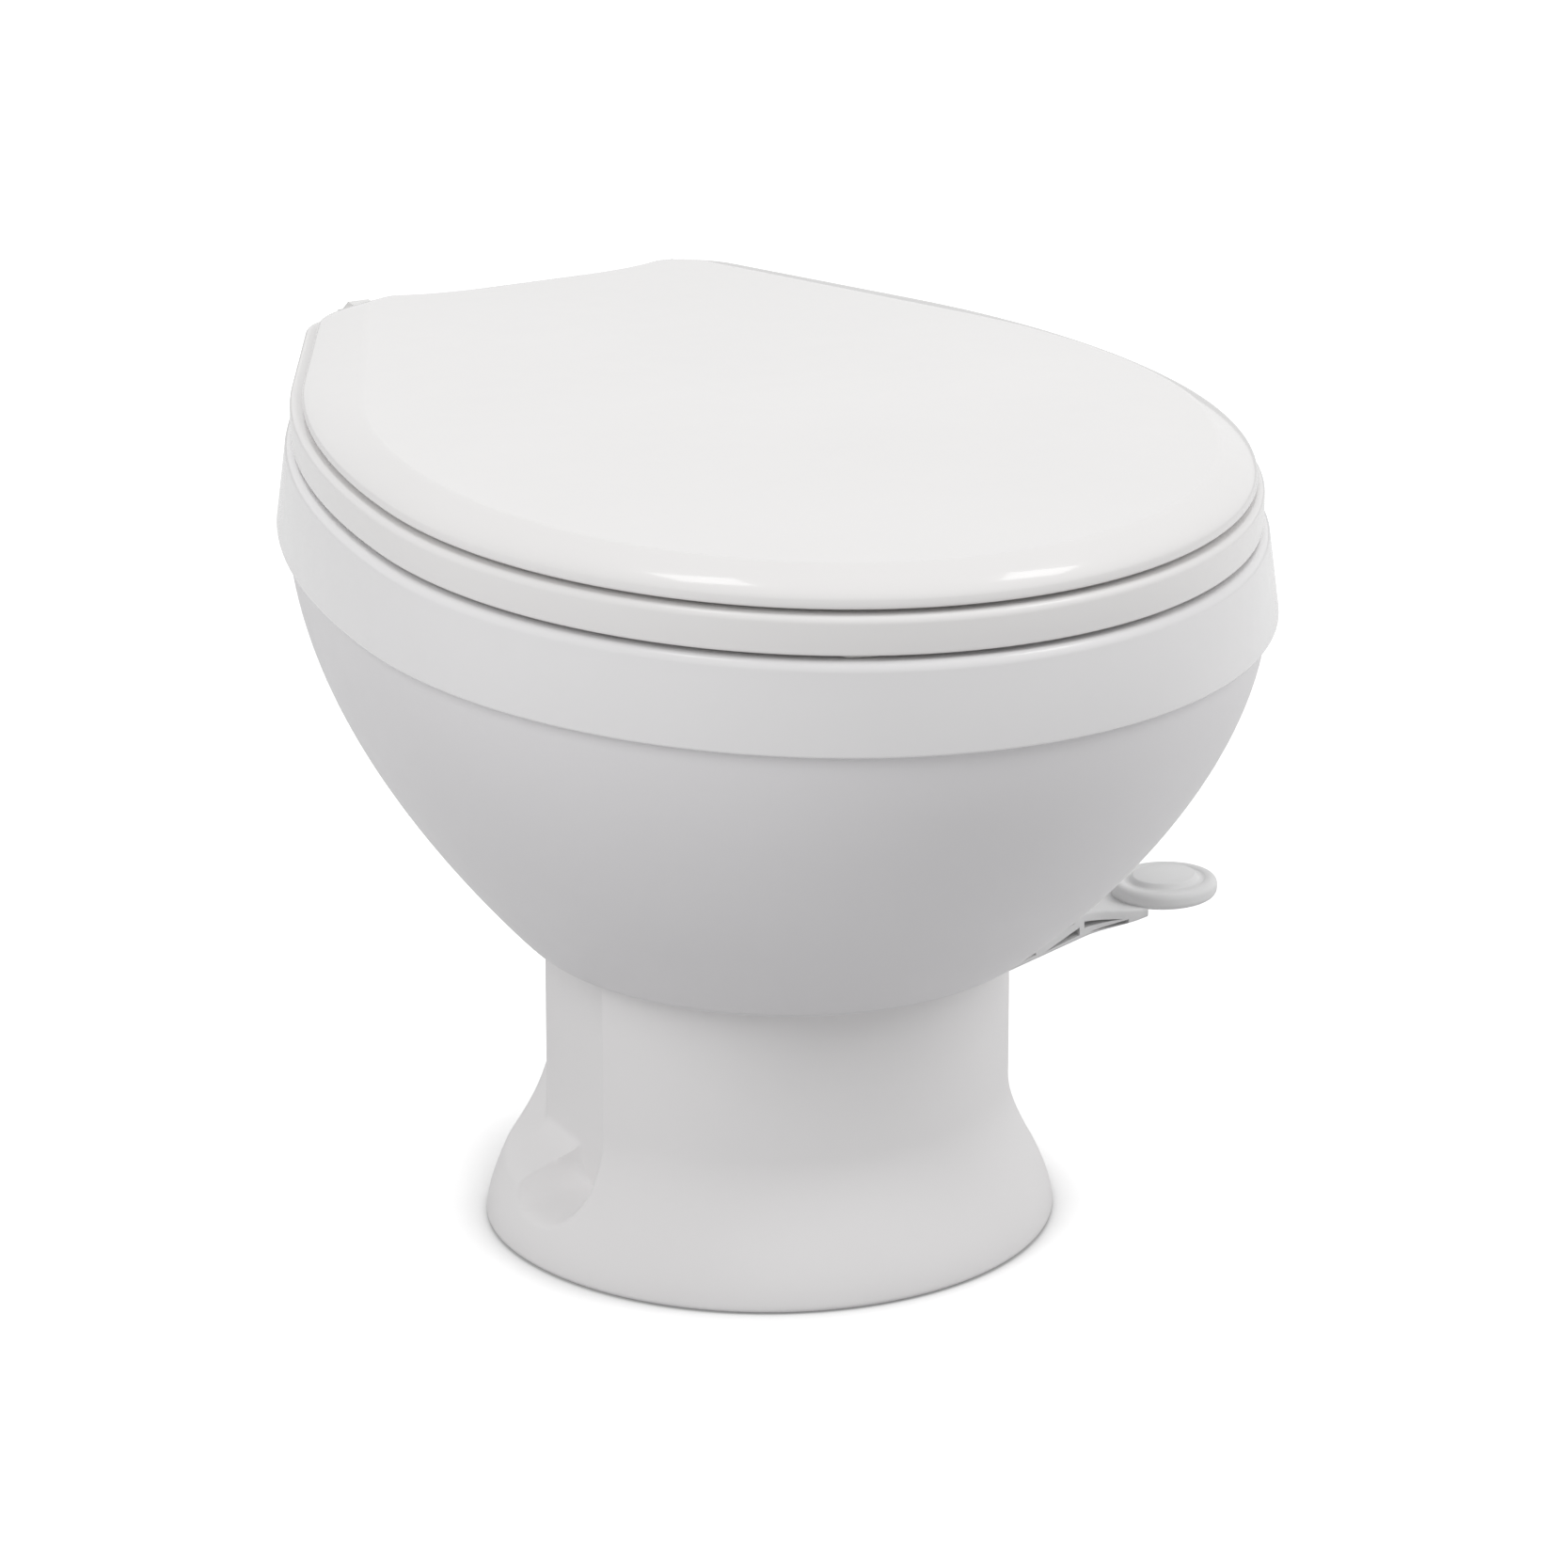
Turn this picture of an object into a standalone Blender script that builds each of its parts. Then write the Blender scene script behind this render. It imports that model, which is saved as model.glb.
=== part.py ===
"""A low pedal-flush toilet for a travel trailer, built from its separate pieces.

Metres, +Z up, the front towards -Y. The origin is on the floor, in the middle of the
footprint. The pieces are worked out about the drain's axis and moved there at the end.
Driving sizes come first, then the helpers, then one short function for each sub-part.
"""

import math
from collections import namedtuple

import bmesh
import bpy
from mathutils import Matrix, Vector

Plan = namedtuple("Plan", "half_width front back centre_y taper rear_y corner bulge")

# Fits shared by all pieces
GAP = 0.0003
OVERRUN = 0.004
BORE_GAP = 0.0003
UNIT = 1.0

# Heights of the stack, from the floor up
NECK_TOP_Z = 0.1272
RIM_LOW_Z = 0.2745
RIM_HEIGHT = 0.0360
SEAT_GAP = 0.0020
SEAT_THICKNESS = 0.0153
LID_GAP = 0.0020
LID_THICKNESS = 0.0135
LID_CROWN = 0.0014

# Plan of the rim at its widest edge, which the seat and the lid follow
RIM_PLAN = Plan(0.1855, 0.2120, 0.3000, -0.0253, math.radians(27.0), 0.2512, 0.0280, 0.0200)
COVER_BULGE = -0.0070
RIM_CORNER_LEAST = 0.0060

# Rim
RIM_LEAN = 0.0040
RIM_EDGE_RADIUS = 0.0040
RIM_FOOT_ROUND = 0.0012
RIM_RABBET = 0.0042
RIM_WALL = 0.0060
RIM_LIP_HEIGHT = 0.0115
RIM_TOP_WALL = 0.0050
RIM_SKIRT_WALL = 0.0040
RIM_SKIRT_DROP = 0.0275
RIM_OPENING = Plan(0.1120, 0.1580, 0.1580, -0.0300, math.radians(24.0), 0.1000, 0.0500, 0.0)

# Bowl shell
SHELL_WALL = 0.0045
SHELL_NECK = Plan(0.1043, 0.1093, 0.1093, -0.0112, math.radians(21.6), 0.1200, 0.0240, 0.0)
SHELL_FOOT_HEIGHT = 0.0040
SHELL_SIDE_POWER, SHELL_SIDE_ROOT = 1.665, 1.033
SHELL_REAR_POWER, SHELL_REAR_ROOT = 2.676, 2.320
SHELL_RINGS = 8
SHELL_WINDOW_WIDTH = 0.1100
SHELL_WINDOW_HEIGHT = 0.1150
SHELL_WINDOW_FLOOR = 0.0100

# Basin
BASIN_WALL = 0.0040
BASIN_CHANNEL = 0.0060
BASIN_POWER, BASIN_ROOT = 2.2, 1.5
BASIN_RINGS = 8
OUTLET_RADIUS = 0.0300
SPIGOT_WALL = 0.0040
BASIN_THROAT = 0.0200

# Flush ball and its housing
BALL_AXIS_Z = 0.0620
BALL_RADIUS = 0.0520
BALL_WALL = 0.0040
BALL_HALF_WIDTH = 0.0355
BALL_HUB_RADIUS = 0.0080
BALL_HUB_LENGTH = 0.0075
BALL_CLEARANCE = 0.0020
HUB_CLEARANCE = 0.0025
HOUSING_BORE = BALL_RADIUS + BALL_CLEARANCE
BALL_HUB_OUTER = HOUSING_BORE - HUB_CLEARANCE
BALL_HUB_INNER = BALL_HUB_OUTER - BALL_HUB_LENGTH
HOUSING_WALL = 0.0040
HOUSING_RADIUS = HOUSING_BORE + HOUSING_WALL
HOUSING_MOUTH = 0.0420
BALL_STANDOUT = 0.0040
HOUSING_TOP_Z = BALL_AXIS_Z + BALL_RADIUS - BALL_STANDOUT
HOUSING_MOUTH_DEPTH = 0.0135
HOUSING_SHOULDER = 0.0115
HOUSING_FLANGE_REACH = 0.0060
HOUSING_FLANGE_RADIUS = HOUSING_RADIUS + HOUSING_FLANGE_REACH
HOUSING_FLANGE_HEIGHT = 0.0060
HOUSING_FOOT_REACH = 0.0140
HOUSING_FOOT_RADIUS = HOUSING_RADIUS + HOUSING_FOOT_REACH
HOUSING_FOOT_HEIGHT = 0.0060
HOUSING_FLOOR_Z = 0.0300
DRAIN_RADIUS = 0.0400
DRAIN_HEIGHT = 0.0140
BOSS_RADIUS = 0.0120
BOSS_SINK = 0.0015
BOSS_LENGTH = 0.0115
BOSS_INNER = HOUSING_BORE - BOSS_SINK
BOSS_OUTER = BOSS_INNER + BOSS_LENGTH
FLOOR_SEAL_HEIGHT = 0.0060
FLOOR_SEAL_INNER = 0.0430
FLOOR_SEAL_OUTER = 0.0660
SEAL_INNER = 0.0310
SEAL_OUTER = 0.0410

# Clamp that holds the basin on the housing
CLAMP_WALL = 0.0050
CLAMP_GRIP = 0.0035
CLAMP_RADIUS = HOUSING_FLANGE_RADIUS + CLAMP_WALL
CLAMP_LIP = HOUSING_FLANGE_RADIUS - CLAMP_GRIP
CLAMP_LIP_HEIGHT = 0.0028
CLAMP_SPLIT = 0.0030
CLAMP_EAR_LENGTH = 0.0090
CLAMP_EAR_THICKNESS = 0.0060
CLAMP_SCREW_RADIUS = 0.0020
CLAMP_SCREW_HEAD = 0.0036
CLAMP_HEAD_HEIGHT = 0.0028

# Shafts, bushes and gears
SHAFT_RADIUS = 0.0040
SOCKET_FLOOR = 0.0040
SHAFT_REAR_REACH = 0.0265
STUB_REACH = 0.0060
SHAFT_SEAT = BALL_HUB_INNER + SOCKET_FLOOR
SHAFT_REAR_END = BOSS_OUTER + SHAFT_REAR_REACH
STUB_END = BOSS_OUTER + STUB_REACH
BUSH_RADIUS = 0.0075
BUSH_FLANGE_RADIUS = 0.0100
BUSH_FLANGE = 0.0020
GEAR_MODULE = 0.0020
PINION_TEETH = 9
SECTOR_TEETH = 43
PRESSURE_ANGLE = math.radians(25.0)
ADDENDUM_SHARE = 0.80
DEDENDUM_SHARE = 1.15
BACKLASH = 0.00045
SECTOR_FIRST_TOOTH, SECTOR_LAST_TOOTH = -1, 3
GEAR_SETBACK = 0.0066
GEAR_START_Y = BOSS_OUTER + GEAR_SETBACK
GEAR_WIDTH = 0.0077

# Bracket and pedal
PLATE = 0.0030
PLATE_HALF_HEIGHT = 0.0120
BRACKET_END = 0.0240
BRACKET_EDGE = 0.0070
BRACKET_DEPTH = 0.0200
PIN_RADIUS = 0.0035
PIN_HEAD_RADIUS = 0.0060
PIN_HEAD = 0.0020
HUB_RADIUS = 0.0090
LEVER_WIDTH = 0.0170
LEVER_FLANGE = 0.0040
LEVER_TOP_Z = 0.0770
LEVER_DEEP = 0.0340
LEVER_DEEP_X = 0.0940
LEVER_SHALLOW = 0.0042
LEVER_END_X = 0.2070
LEVER_WEB = 0.0040
LEVER_RIB = 0.0022
LEVER_BAYS = 5
PAD_CENTRE = Vector((0.2232, 0.0660, 0.0))
PAD_TOP_Z = 0.0850
PAD_HALF_LENGTH = 0.0235
PAD_HALF_DEPTH = 0.0215
PAD_THICKNESS = 0.0095
PAD_EDGE = 0.0030
PAD_BORDER = 0.0060
PAD_RAISE = 0.0016
PAD_GROOVE = 0.0016
SPRING_RADIUS = 0.0062
SPRING_WIRE = 0.0012
SPRING_TURNS = 3
SPRING_PITCH = 0.0018
SPRING_TURN_POINTS = 12

# Pedestal
NECK_PLAN = Plan(0.0990, 0.0990, 0.0990, 0.0, math.radians(25.0), 0.1150, 0.0250, 0.0)
NECK_CAVITY = Plan(0.0800, 0.0930, 0.0930, 0.0, math.radians(22.0), 0.1080, 0.0200, 0.0)
BASE_FLARE = 0.0190
BASE_FLARE_HEIGHT = 0.0580
BASE_FLARE_POWER = 0.9
BASE_BACK_SHARE = 0.5
BASE_TAPER = math.radians(50.0)
BASE_EDGE = 0.0020
PEDESTAL_RINGS = 9
RELIEF_X = 0.0850
RELIEF_FRONT_Y = -0.0340
RELIEF_TURN_Y = 0.0330
RELIEF_REAR_X = 0.0450
RELIEF_REAR_Y = 0.1140
RELIEF_FLOOR_Z = 0.0340
RELIEF_ROUND = 0.0080
POCKET_REAR_Y = 0.0060
POCKET_FLOOR_Z = 0.0180
POCKET_ROUND = 0.0070
FLOOR_BOLT_X = 0.0960
FLOOR_BOLT_Y = -0.0120
FLOOR_BOLT_RADIUS = 0.0050
REAR_OPENING_HALF = 0.0500
REAR_OPENING_Y = 0.0850
REAR_OPENING_TOP = 0.1050
PEDAL_SLOT_Y = 0.0560
PEDAL_SLOT_FLOOR_Z = 0.0080

# Seat
SEAT_INSET = 0.0066
SEAT_OPENING = Plan(0.1040, 0.1500, 0.1500, -0.0300, math.radians(24.0), 0.0850, 0.0480, 0.0)
SEAT_FOOT_ROUND = 0.0015
SEAT_EDGE = 0.0030
SEAT_DISH = 0.0020
SEAT_DISH_WIDTH = 0.0220
SEAT_BUMPERS = ((0.1480, -0.0500), (0.0640, -0.2080))
BUMPER_LENGTH = 0.0160
BUMPER_WIDTH = 0.0080

# Lid
LID_INSET = 0.0092
LID_NARROWING = 0.0120
LID_REAR_SETBACK = 0.0060
LID_REAR_SHARE = 0.58
LID_THINNING_START_Y = -0.0800
LID_FOOT_ROUND = 0.0015
LID_SIDE_LEAN = 0.0006
LID_SIDE_HEIGHT = 0.0032
LID_SHOULDER = 0.0150
LID_SHOULDER_POWER = 0.62
LID_SHOULDER_STEPS = 4
LID_TOP_TAPER = math.radians(24.0)
LID_TOP_SHORTER = 0.0600
LID_TOP_CORNER = 0.0200
LID_REAR_ROUND = 0.0050
LID_CROWN_STEP = 0.0350
LID_BUMPERS = ((0.0900, -0.1700), (0.0900, 0.1700))
LID_BUMPER_RADIUS = 0.0055

# Seat hinges
HINGE_X = 0.0600
HINGE_AXIS_Y = 0.2540
HINGE_AXIS_RISE = 0.0110
POST_WIDTH = 0.0120
POST_FRONT = 0.0130
POST_REAR = 0.0010
POST_RADIUS = 0.0070
KNUCKLE_RADIUS = 0.0058
KNUCKLE_WIDTH = 0.0100
KNUCKLE_GAP = 0.0005
HINGE_PIN_RADIUS = 0.0025
LEAF_THICKNESS = 0.0028
LEAF_WIDTH = 0.0200
LEAF_LENGTH = 0.0450
LEAF_FIT = 0.0004
HINGE_BOLT_SETBACK = 0.0075
HINGE_BOLT_RADIUS = 0.0030
HINGE_BOLT_HEAD = 0.0042
HINGE_BOLT_HEAD_HEIGHT = 0.0045
HINGE_BOLT_REACH = 0.0040
SCREW_RADIUS = 0.0016
SCREW_HEAD_RADIUS = 0.0030
SCREW_HEAD_HEIGHT = 0.0008
SCREW_LENGTH = 0.0055
SCREW_SETBACK_SHARES = (0.45, 0.85)

# Water supply
VALVE_LOW_Z = 0.0090
VALVE_RADIUS = 0.0110
VALVE_HEIGHT = 0.0480
INLET_RADIUS = 0.0100
INLET_LENGTH = 0.0200
INLET_BORE = 0.0070
INLET_DEPTH = 0.0120
HOSE_RADIUS = 0.0060
HOSE_SIDES = 10
BREAKER_Y = 0.1900
BREAKER_LOW_Z = 0.1980
BREAKER_HEIGHT = 0.0450
BREAKER_RADIUS = 0.0150
BREAKER_CAP_RADIUS = 0.0180
BREAKER_CAP_HEIGHT = 0.0100
ELBOW_RADIUS = 0.0060
PORT_RADIUS = 0.0040
PORT_DROP = 0.0160

# Derived levels
RIM_TOP_Z = RIM_LOW_Z + RIM_HEIGHT
SEAT_LOW_Z = RIM_TOP_Z + SEAT_GAP
SEAT_TOP_Z = SEAT_LOW_Z + SEAT_THICKNESS
LID_LOW_Z = SEAT_TOP_Z + LID_GAP
LID_TOP_Z = LID_LOW_Z + LID_THICKNESS
HINGE_AXIS_Z = RIM_TOP_Z + HINGE_AXIS_RISE
RIM_CEILING_Z = RIM_TOP_Z - RIM_TOP_WALL
SHELL_TOP_Z = RIM_LOW_Z + RIM_LIP_HEIGHT
SHELL_LOW_Z = NECK_TOP_Z + GAP
PINION_RADIUS = GEAR_MODULE * PINION_TEETH / 2
SECTOR_RADIUS = GEAR_MODULE * SECTOR_TEETH / 2
PIVOT_X = PINION_RADIUS + SECTOR_RADIUS
BRACKET_FRONT_Y = BOSS_OUTER + GAP + BUSH_FLANGE + GAP
BRACKET_REAR_Y = BRACKET_FRONT_Y + BRACKET_DEPTH
VALVE_X = -(BRACKET_END + GAP + VALVE_RADIUS)
VALVE_Y = (BRACKET_FRONT_Y + BRACKET_REAR_Y + PLATE) / 2

SIDE_STEPS = (13, 3, 4, 3)
ROUND_STEPS = 32
SMALL_STEPS = 16

SIDE_NAMES = {-1: "left", 1: "right"}

AXIS_TURNS = {
    "X": Matrix.Rotation(math.pi / 2, 4, "Y"),
    "Y": Matrix.Rotation(-math.pi / 2, 4, "X"),
    "Z": Matrix.Identity(4),
}


def material(name, colour, roughness, metallic=0.0):
    """A plain finish for one kind of piece."""
    finish = bpy.data.materials.get(name)
    if finish is None:
        finish = bpy.data.materials.new(name)
        finish.use_nodes = True
        shader = finish.node_tree.nodes["Principled BSDF"]
        shader.inputs["Base Color"].default_value = (*colour, UNIT)
        shader.inputs["Roughness"].default_value = roughness
        shader.inputs["Metallic"].default_value = metallic
        finish.diffuse_color = (*colour, UNIT)
    return finish


ENAMEL = ("seat_enamel", (0.88, 0.87, 0.86), 0.18)
BOWL_WHITE = ("bowl_white", (0.84, 0.83, 0.84), 0.25)
SHROUD_WHITE = ("pedestal_white", (0.83, 0.82, 0.82), 0.38)
PEDAL_WHITE = ("pedal_white", (0.82, 0.82, 0.82), 0.40)
HINGE_WHITE = ("hinge_white", (0.85, 0.85, 0.84), 0.35)
VALVE_GREY = ("valve_grey", (0.30, 0.31, 0.32), 0.45)
STEEL = ("zinc_steel", (0.62, 0.62, 0.63), 0.30, 1.0)
RUBBER = ("black_rubber", (0.05, 0.05, 0.05), 0.70)
BUMPER_WHITE = ("bumper_white", (0.80, 0.80, 0.79), 0.55)
HOSE_GREY = ("hose_grey", (0.55, 0.56, 0.57), 0.50)


def add_object(name, vertices, faces, finish):
    """One named object from points and faces, with its faces turned outwards."""
    mesh = bpy.data.meshes.new(name)
    mesh.from_pydata([tuple(v) for v in vertices], [], faces)
    shape = bmesh.new()
    shape.from_mesh(mesh)
    bmesh.ops.recalc_face_normals(shape, faces=shape.faces)
    shape.to_mesh(mesh)
    shape.free()
    piece = bpy.data.objects.new(name, mesh)
    bpy.context.scene.collection.objects.link(piece)
    if finish:
        mesh.materials.append(material(*finish))
        mesh.shade_smooth()
        mesh.set_sharp_from_angle(angle=math.radians(35.0))
    return piece


def hide_cutter(cutter):
    cutter.hide_render = True
    cutter.display_type = "WIRE"
    return cutter


def combine(target, tool, operation):
    """Cut a piece with a hidden tool, or join the tool to it."""
    modifier = target.modifiers.new(f"{operation.lower()}_{tool.name}", "BOOLEAN")
    modifier.operation = operation
    modifier.solver = "EXACT"
    modifier.object = hide_cutter(tool)


def cut(target, tool):
    combine(target, tool, "DIFFERENCE")


def join(target, tool):
    combine(target, tool, "UNION")


def loft_faces(ring_count, ring_size, closed):
    """Quads between neighbouring rings, with end caps unless the section is closed."""
    faces = []
    last = ring_count if closed else ring_count - 1
    for i in range(last):
        a = i * ring_size
        b = ((i + 1) % ring_count) * ring_size
        for k in range(ring_size):
            n = (k + 1) % ring_size
            faces.append((a + k, a + n, b + n, b + k))
    if not closed:
        faces.append(tuple(range(ring_size)))
        faces.append(tuple(range((ring_count - 1) * ring_size, ring_count * ring_size)))
    return faces


def loft(name, rings, finish, closed=False):
    vertices = [point for ring in rings for point in ring]
    return add_object(name, vertices, loft_faces(len(rings), len(rings[0]), closed), finish)


def grown(plan, amount):
    """The same plan, larger by an amount all round."""
    return plan._replace(
        half_width=plan.half_width + amount,
        front=plan.front + amount,
        back=plan.back + amount,
        rear_y=plan.rear_y + amount,
        corner=max(plan.corner + amount, RIM_CORNER_LEAST),
    )


def blended(low, high, side_share, rear_share):
    """A plan between two others, with one share for the sides and one for the rear."""
    def mix(a, b, share):
        return a + (b - a) * share
    return Plan(
        mix(low.half_width, high.half_width, side_share),
        mix(low.front, high.front, side_share),
        mix(low.back, high.back, rear_share),
        mix(low.centre_y, high.centre_y, side_share),
        mix(low.taper, high.taper, rear_share),
        mix(low.rear_y, high.rear_y, rear_share),
        mix(low.corner, high.corner, rear_share),
        mix(low.bulge, high.bulge, rear_share),
    )


def outline(plan, z):
    """A short ellipse in front, a long one behind, tapering sides, round corners, a bowed rear edge."""
    front_steps, side_steps, corner_steps, rear_steps = SIDE_STEPS
    sine, cosine = math.sin(plan.taper), math.cos(plan.taper)
    leave = math.pi - math.atan2(plan.half_width, plan.back * math.tan(plan.taper))
    half = []
    for i in range(front_steps + 1):
        t = leave * i / front_steps
        depth = plan.front if t < math.pi / 2 else plan.back
        half.append((plan.half_width * math.sin(t), plan.centre_y - depth * math.cos(t)))
    x, y = half[-1]
    turn = math.pi / 2 - plan.taper
    length = (plan.rear_y - y) / cosine - plan.corner * math.tan(turn / 2)
    for i in range(1, side_steps + 1):
        run = length * i / side_steps
        half.append((x - sine * run, y + cosine * run))
    x, y = half[-1]
    centre_x, centre_y = x - plan.corner * cosine, y - plan.corner * sine
    for i in range(1, corner_steps + 1):
        angle = plan.taper + turn * i / corner_steps
        half.append((centre_x + plan.corner * math.cos(angle), centre_y + plan.corner * math.sin(angle)))
    edge_x = half[-1][0]
    for i in range(1, rear_steps + 1):
        x = edge_x * (1 - i / rear_steps)
        half.append((x, plan.rear_y + plan.bulge * (1 - (x / edge_x) ** 4)))
    other = [(-x, y) for x, y in half[-2:0:-1]]
    return [Vector((x, y, z)) for x, y in half + other]


def circle_like(ring, radius, z):
    """A circle about the drain axis whose points lie in the directions of another ring's."""
    return [Vector((p.x, p.y, 0.0)).normalized() * radius + Vector((0.0, 0.0, z)) for p in ring]


def mixed(low, high, share, z):
    return [Vector((a.x + (b.x - a.x) * share, a.y + (b.y - a.y) * share, z)) for a, b in zip(low, high)]


def swell(share, power, root):
    """How far a bowl's wall has opened out at a share of its height."""
    return (1 - (1 - share) ** power) ** (1 / root)


def turned(name, profile, finish, axis="Z", centre=Vector(), closed=False, steps=ROUND_STEPS,
           start=0.0, sweep=2 * math.pi):
    """Turn (radius, height) points about an axis. A closed profile makes a ring."""
    full = sweep > 2 * math.pi - math.radians(1.0)
    count = steps if full else steps + 1
    turn = Matrix.Translation(centre) @ AXIS_TURNS[axis]
    if full:
        rings = []
        for radius, height in profile:
            ring = [(radius * math.cos(2 * math.pi * k / count), radius * math.sin(2 * math.pi * k / count))
                    for k in range(count)]
            rings.append([turn @ Vector((x, y, height)) for x, y in ring])
        return loft(name, rings, finish, closed)
    sections = []
    for k in range(count):
        angle = start + sweep * k / steps
        sections.append([turn @ Vector((r * math.cos(angle), r * math.sin(angle), h)) for r, h in profile])
    return loft(name, sections, finish)


def rod(name, radius, low, high, finish, axis="Z", centre=Vector(), steps=SMALL_STEPS):
    return turned(name, [(radius, low), (radius, high)], finish, axis, centre, steps=steps)


def block(name, low, high, finish=None, round_edges=0.0, segments=2):
    (x0, y0, z0), (x1, y1, z1) = low, high
    corners = [(x, y, z) for z in (z0, z1) for x, y in ((x0, y0), (x1, y0), (x1, y1), (x0, y1))]
    faces = [(0, 1, 2, 3), (4, 5, 6, 7), (0, 1, 5, 4), (1, 2, 6, 5), (2, 3, 7, 6), (3, 0, 4, 7)]
    piece = add_object(name, corners, faces, finish)
    if round_edges:
        bevel = piece.modifiers.new("rounded", "BEVEL")
        bevel.width = round_edges
        bevel.segments = segments
    return piece


def prism(name, points, axis, low, high, finish=None):
    """Extrude an outline. Its points are (y, z) along X, (x, z) along Y or (x, y) along Z."""
    place = {
        "X": lambda a, b, h: (h, a, b),
        "Y": lambda a, b, h: (a, h, b),
        "Z": lambda a, b, h: (a, b, h),
    }[axis]
    rings = [[Vector(place(a, b, h)) for a, b in points] for h in (low, high)]
    return loft(name, rings, finish)


def arc(centre, radius, start, end, steps):
    return [(centre[0] + radius * math.cos(start + (end - start) * i / steps),
             centre[1] + radius * math.sin(start + (end - start) * i / steps)) for i in range(steps + 1)]


def group(name, solids, finish):
    """Identical separate solids in one object."""
    vertices, faces = [], []
    for points, sides in solids:
        base = len(vertices)
        vertices.extend(points)
        faces.extend(tuple(base + i for i in side) for side in sides)
    return add_object(name, vertices, faces, finish)


def turned_solid(profile, centre, axis="Z", steps=SMALL_STEPS):
    """Points and faces of one turned solid, for a group."""
    turn = Matrix.Translation(centre) @ AXIS_TURNS[axis]
    points = []
    for radius, height in profile:
        for k in range(steps):
            angle = 2 * math.pi * k / steps
            points.append(turn @ Vector((radius * math.cos(angle), radius * math.sin(angle), height)))
    return points, loft_faces(len(profile), steps, False)


def both_sides(places):
    return [(side * x, y) for x, y in places for side in (-1, 1)]


def flared(amount):
    """The neck's plan, wider and rounder towards the floor, with its rear where it is."""
    turn = (BASE_TAPER - NECK_PLAN.taper) * amount / BASE_FLARE
    return grown(NECK_PLAN, amount)._replace(
        back=NECK_PLAN.back + amount * BASE_BACK_SHARE,
        taper=NECK_PLAN.taper + turn, rear_y=NECK_PLAN.rear_y)


def pedestal_ring(z):
    """The neck's plan, flaring out to the floor."""
    share = min(z / BASE_FLARE_HEIGHT, 1.0) ** BASE_FLARE_POWER
    return outline(flared(BASE_FLARE * (1 + math.cos(math.pi * share)) / 2), z)


def make_pedestal():
    levels = [BASE_EDGE + (BASE_FLARE_HEIGHT - BASE_EDGE) * i / PEDESTAL_RINGS
              for i in range(PEDESTAL_RINGS + 1)] + [NECK_TOP_Z]
    foot = outline(flared(BASE_FLARE - BASE_EDGE), 0.0)
    outer = [foot] + [pedestal_ring(z) for z in levels]
    inner = [outline(NECK_CAVITY, NECK_TOP_Z), outline(NECK_CAVITY, 0.0)]
    piece = loft("pedestal", outer + inner, SHROUD_WHITE, closed=True)
    far = NECK_PLAN.half_width + BASE_FLARE + OVERRUN
    deep = NECK_PLAN.rear_y + BASE_FLARE + OVERRUN
    for side, label in ((-1, "left"), (1, "right")):
        relief = prism(
            f"relief_{label}",
            [(side * RELIEF_X, RELIEF_FRONT_Y), (side * far, RELIEF_FRONT_Y), (side * far, deep),
             (side * RELIEF_REAR_X, deep), (side * RELIEF_REAR_X, RELIEF_REAR_Y),
             (side * RELIEF_X, RELIEF_TURN_Y)],
            "Z", RELIEF_FLOOR_Z, NECK_TOP_Z + OVERRUN)
        cut(piece, relief)
        pocket = block(
            f"pocket_{label}",
            (min(side * RELIEF_X, side * (far + OVERRUN)), RELIEF_FRONT_Y, POCKET_FLOOR_Z),
            (max(side * RELIEF_X, side * (far + OVERRUN)), POCKET_REAR_Y,
             RELIEF_FLOOR_Z + RELIEF_ROUND),
            round_edges=POCKET_ROUND)
        cut(piece, pocket)
        bolt_hole = rod(f"floor_bolt_hole_{label}", FLOOR_BOLT_RADIUS, -OVERRUN,
                        POCKET_FLOOR_Z + OVERRUN, None,
                        centre=Vector((side * FLOOR_BOLT_X, FLOOR_BOLT_Y, 0.0)))
        cut(piece, bolt_hole)
    cut(piece, block("rear_opening", (-REAR_OPENING_HALF, REAR_OPENING_Y, -OVERRUN),
                     (REAR_OPENING_HALF, deep, REAR_OPENING_TOP)))
    cut(piece, block("pedal_slot", (REAR_OPENING_HALF - OVERRUN, PEDAL_SLOT_Y, PEDAL_SLOT_FLOOR_Z),
                     (far, deep + OVERRUN, REAR_OPENING_TOP)))
    return piece


def shell_plan(z):
    share = min((z - SHELL_LOW_Z) / (RIM_LOW_Z - SHELL_LOW_Z), 1.0)
    top = grown(RIM_PLAN, -(RIM_RABBET + GAP))
    return blended(SHELL_NECK, top, swell(share, SHELL_SIDE_POWER, SHELL_SIDE_ROOT),
                   swell(share, SHELL_REAR_POWER, SHELL_REAR_ROOT))


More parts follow.
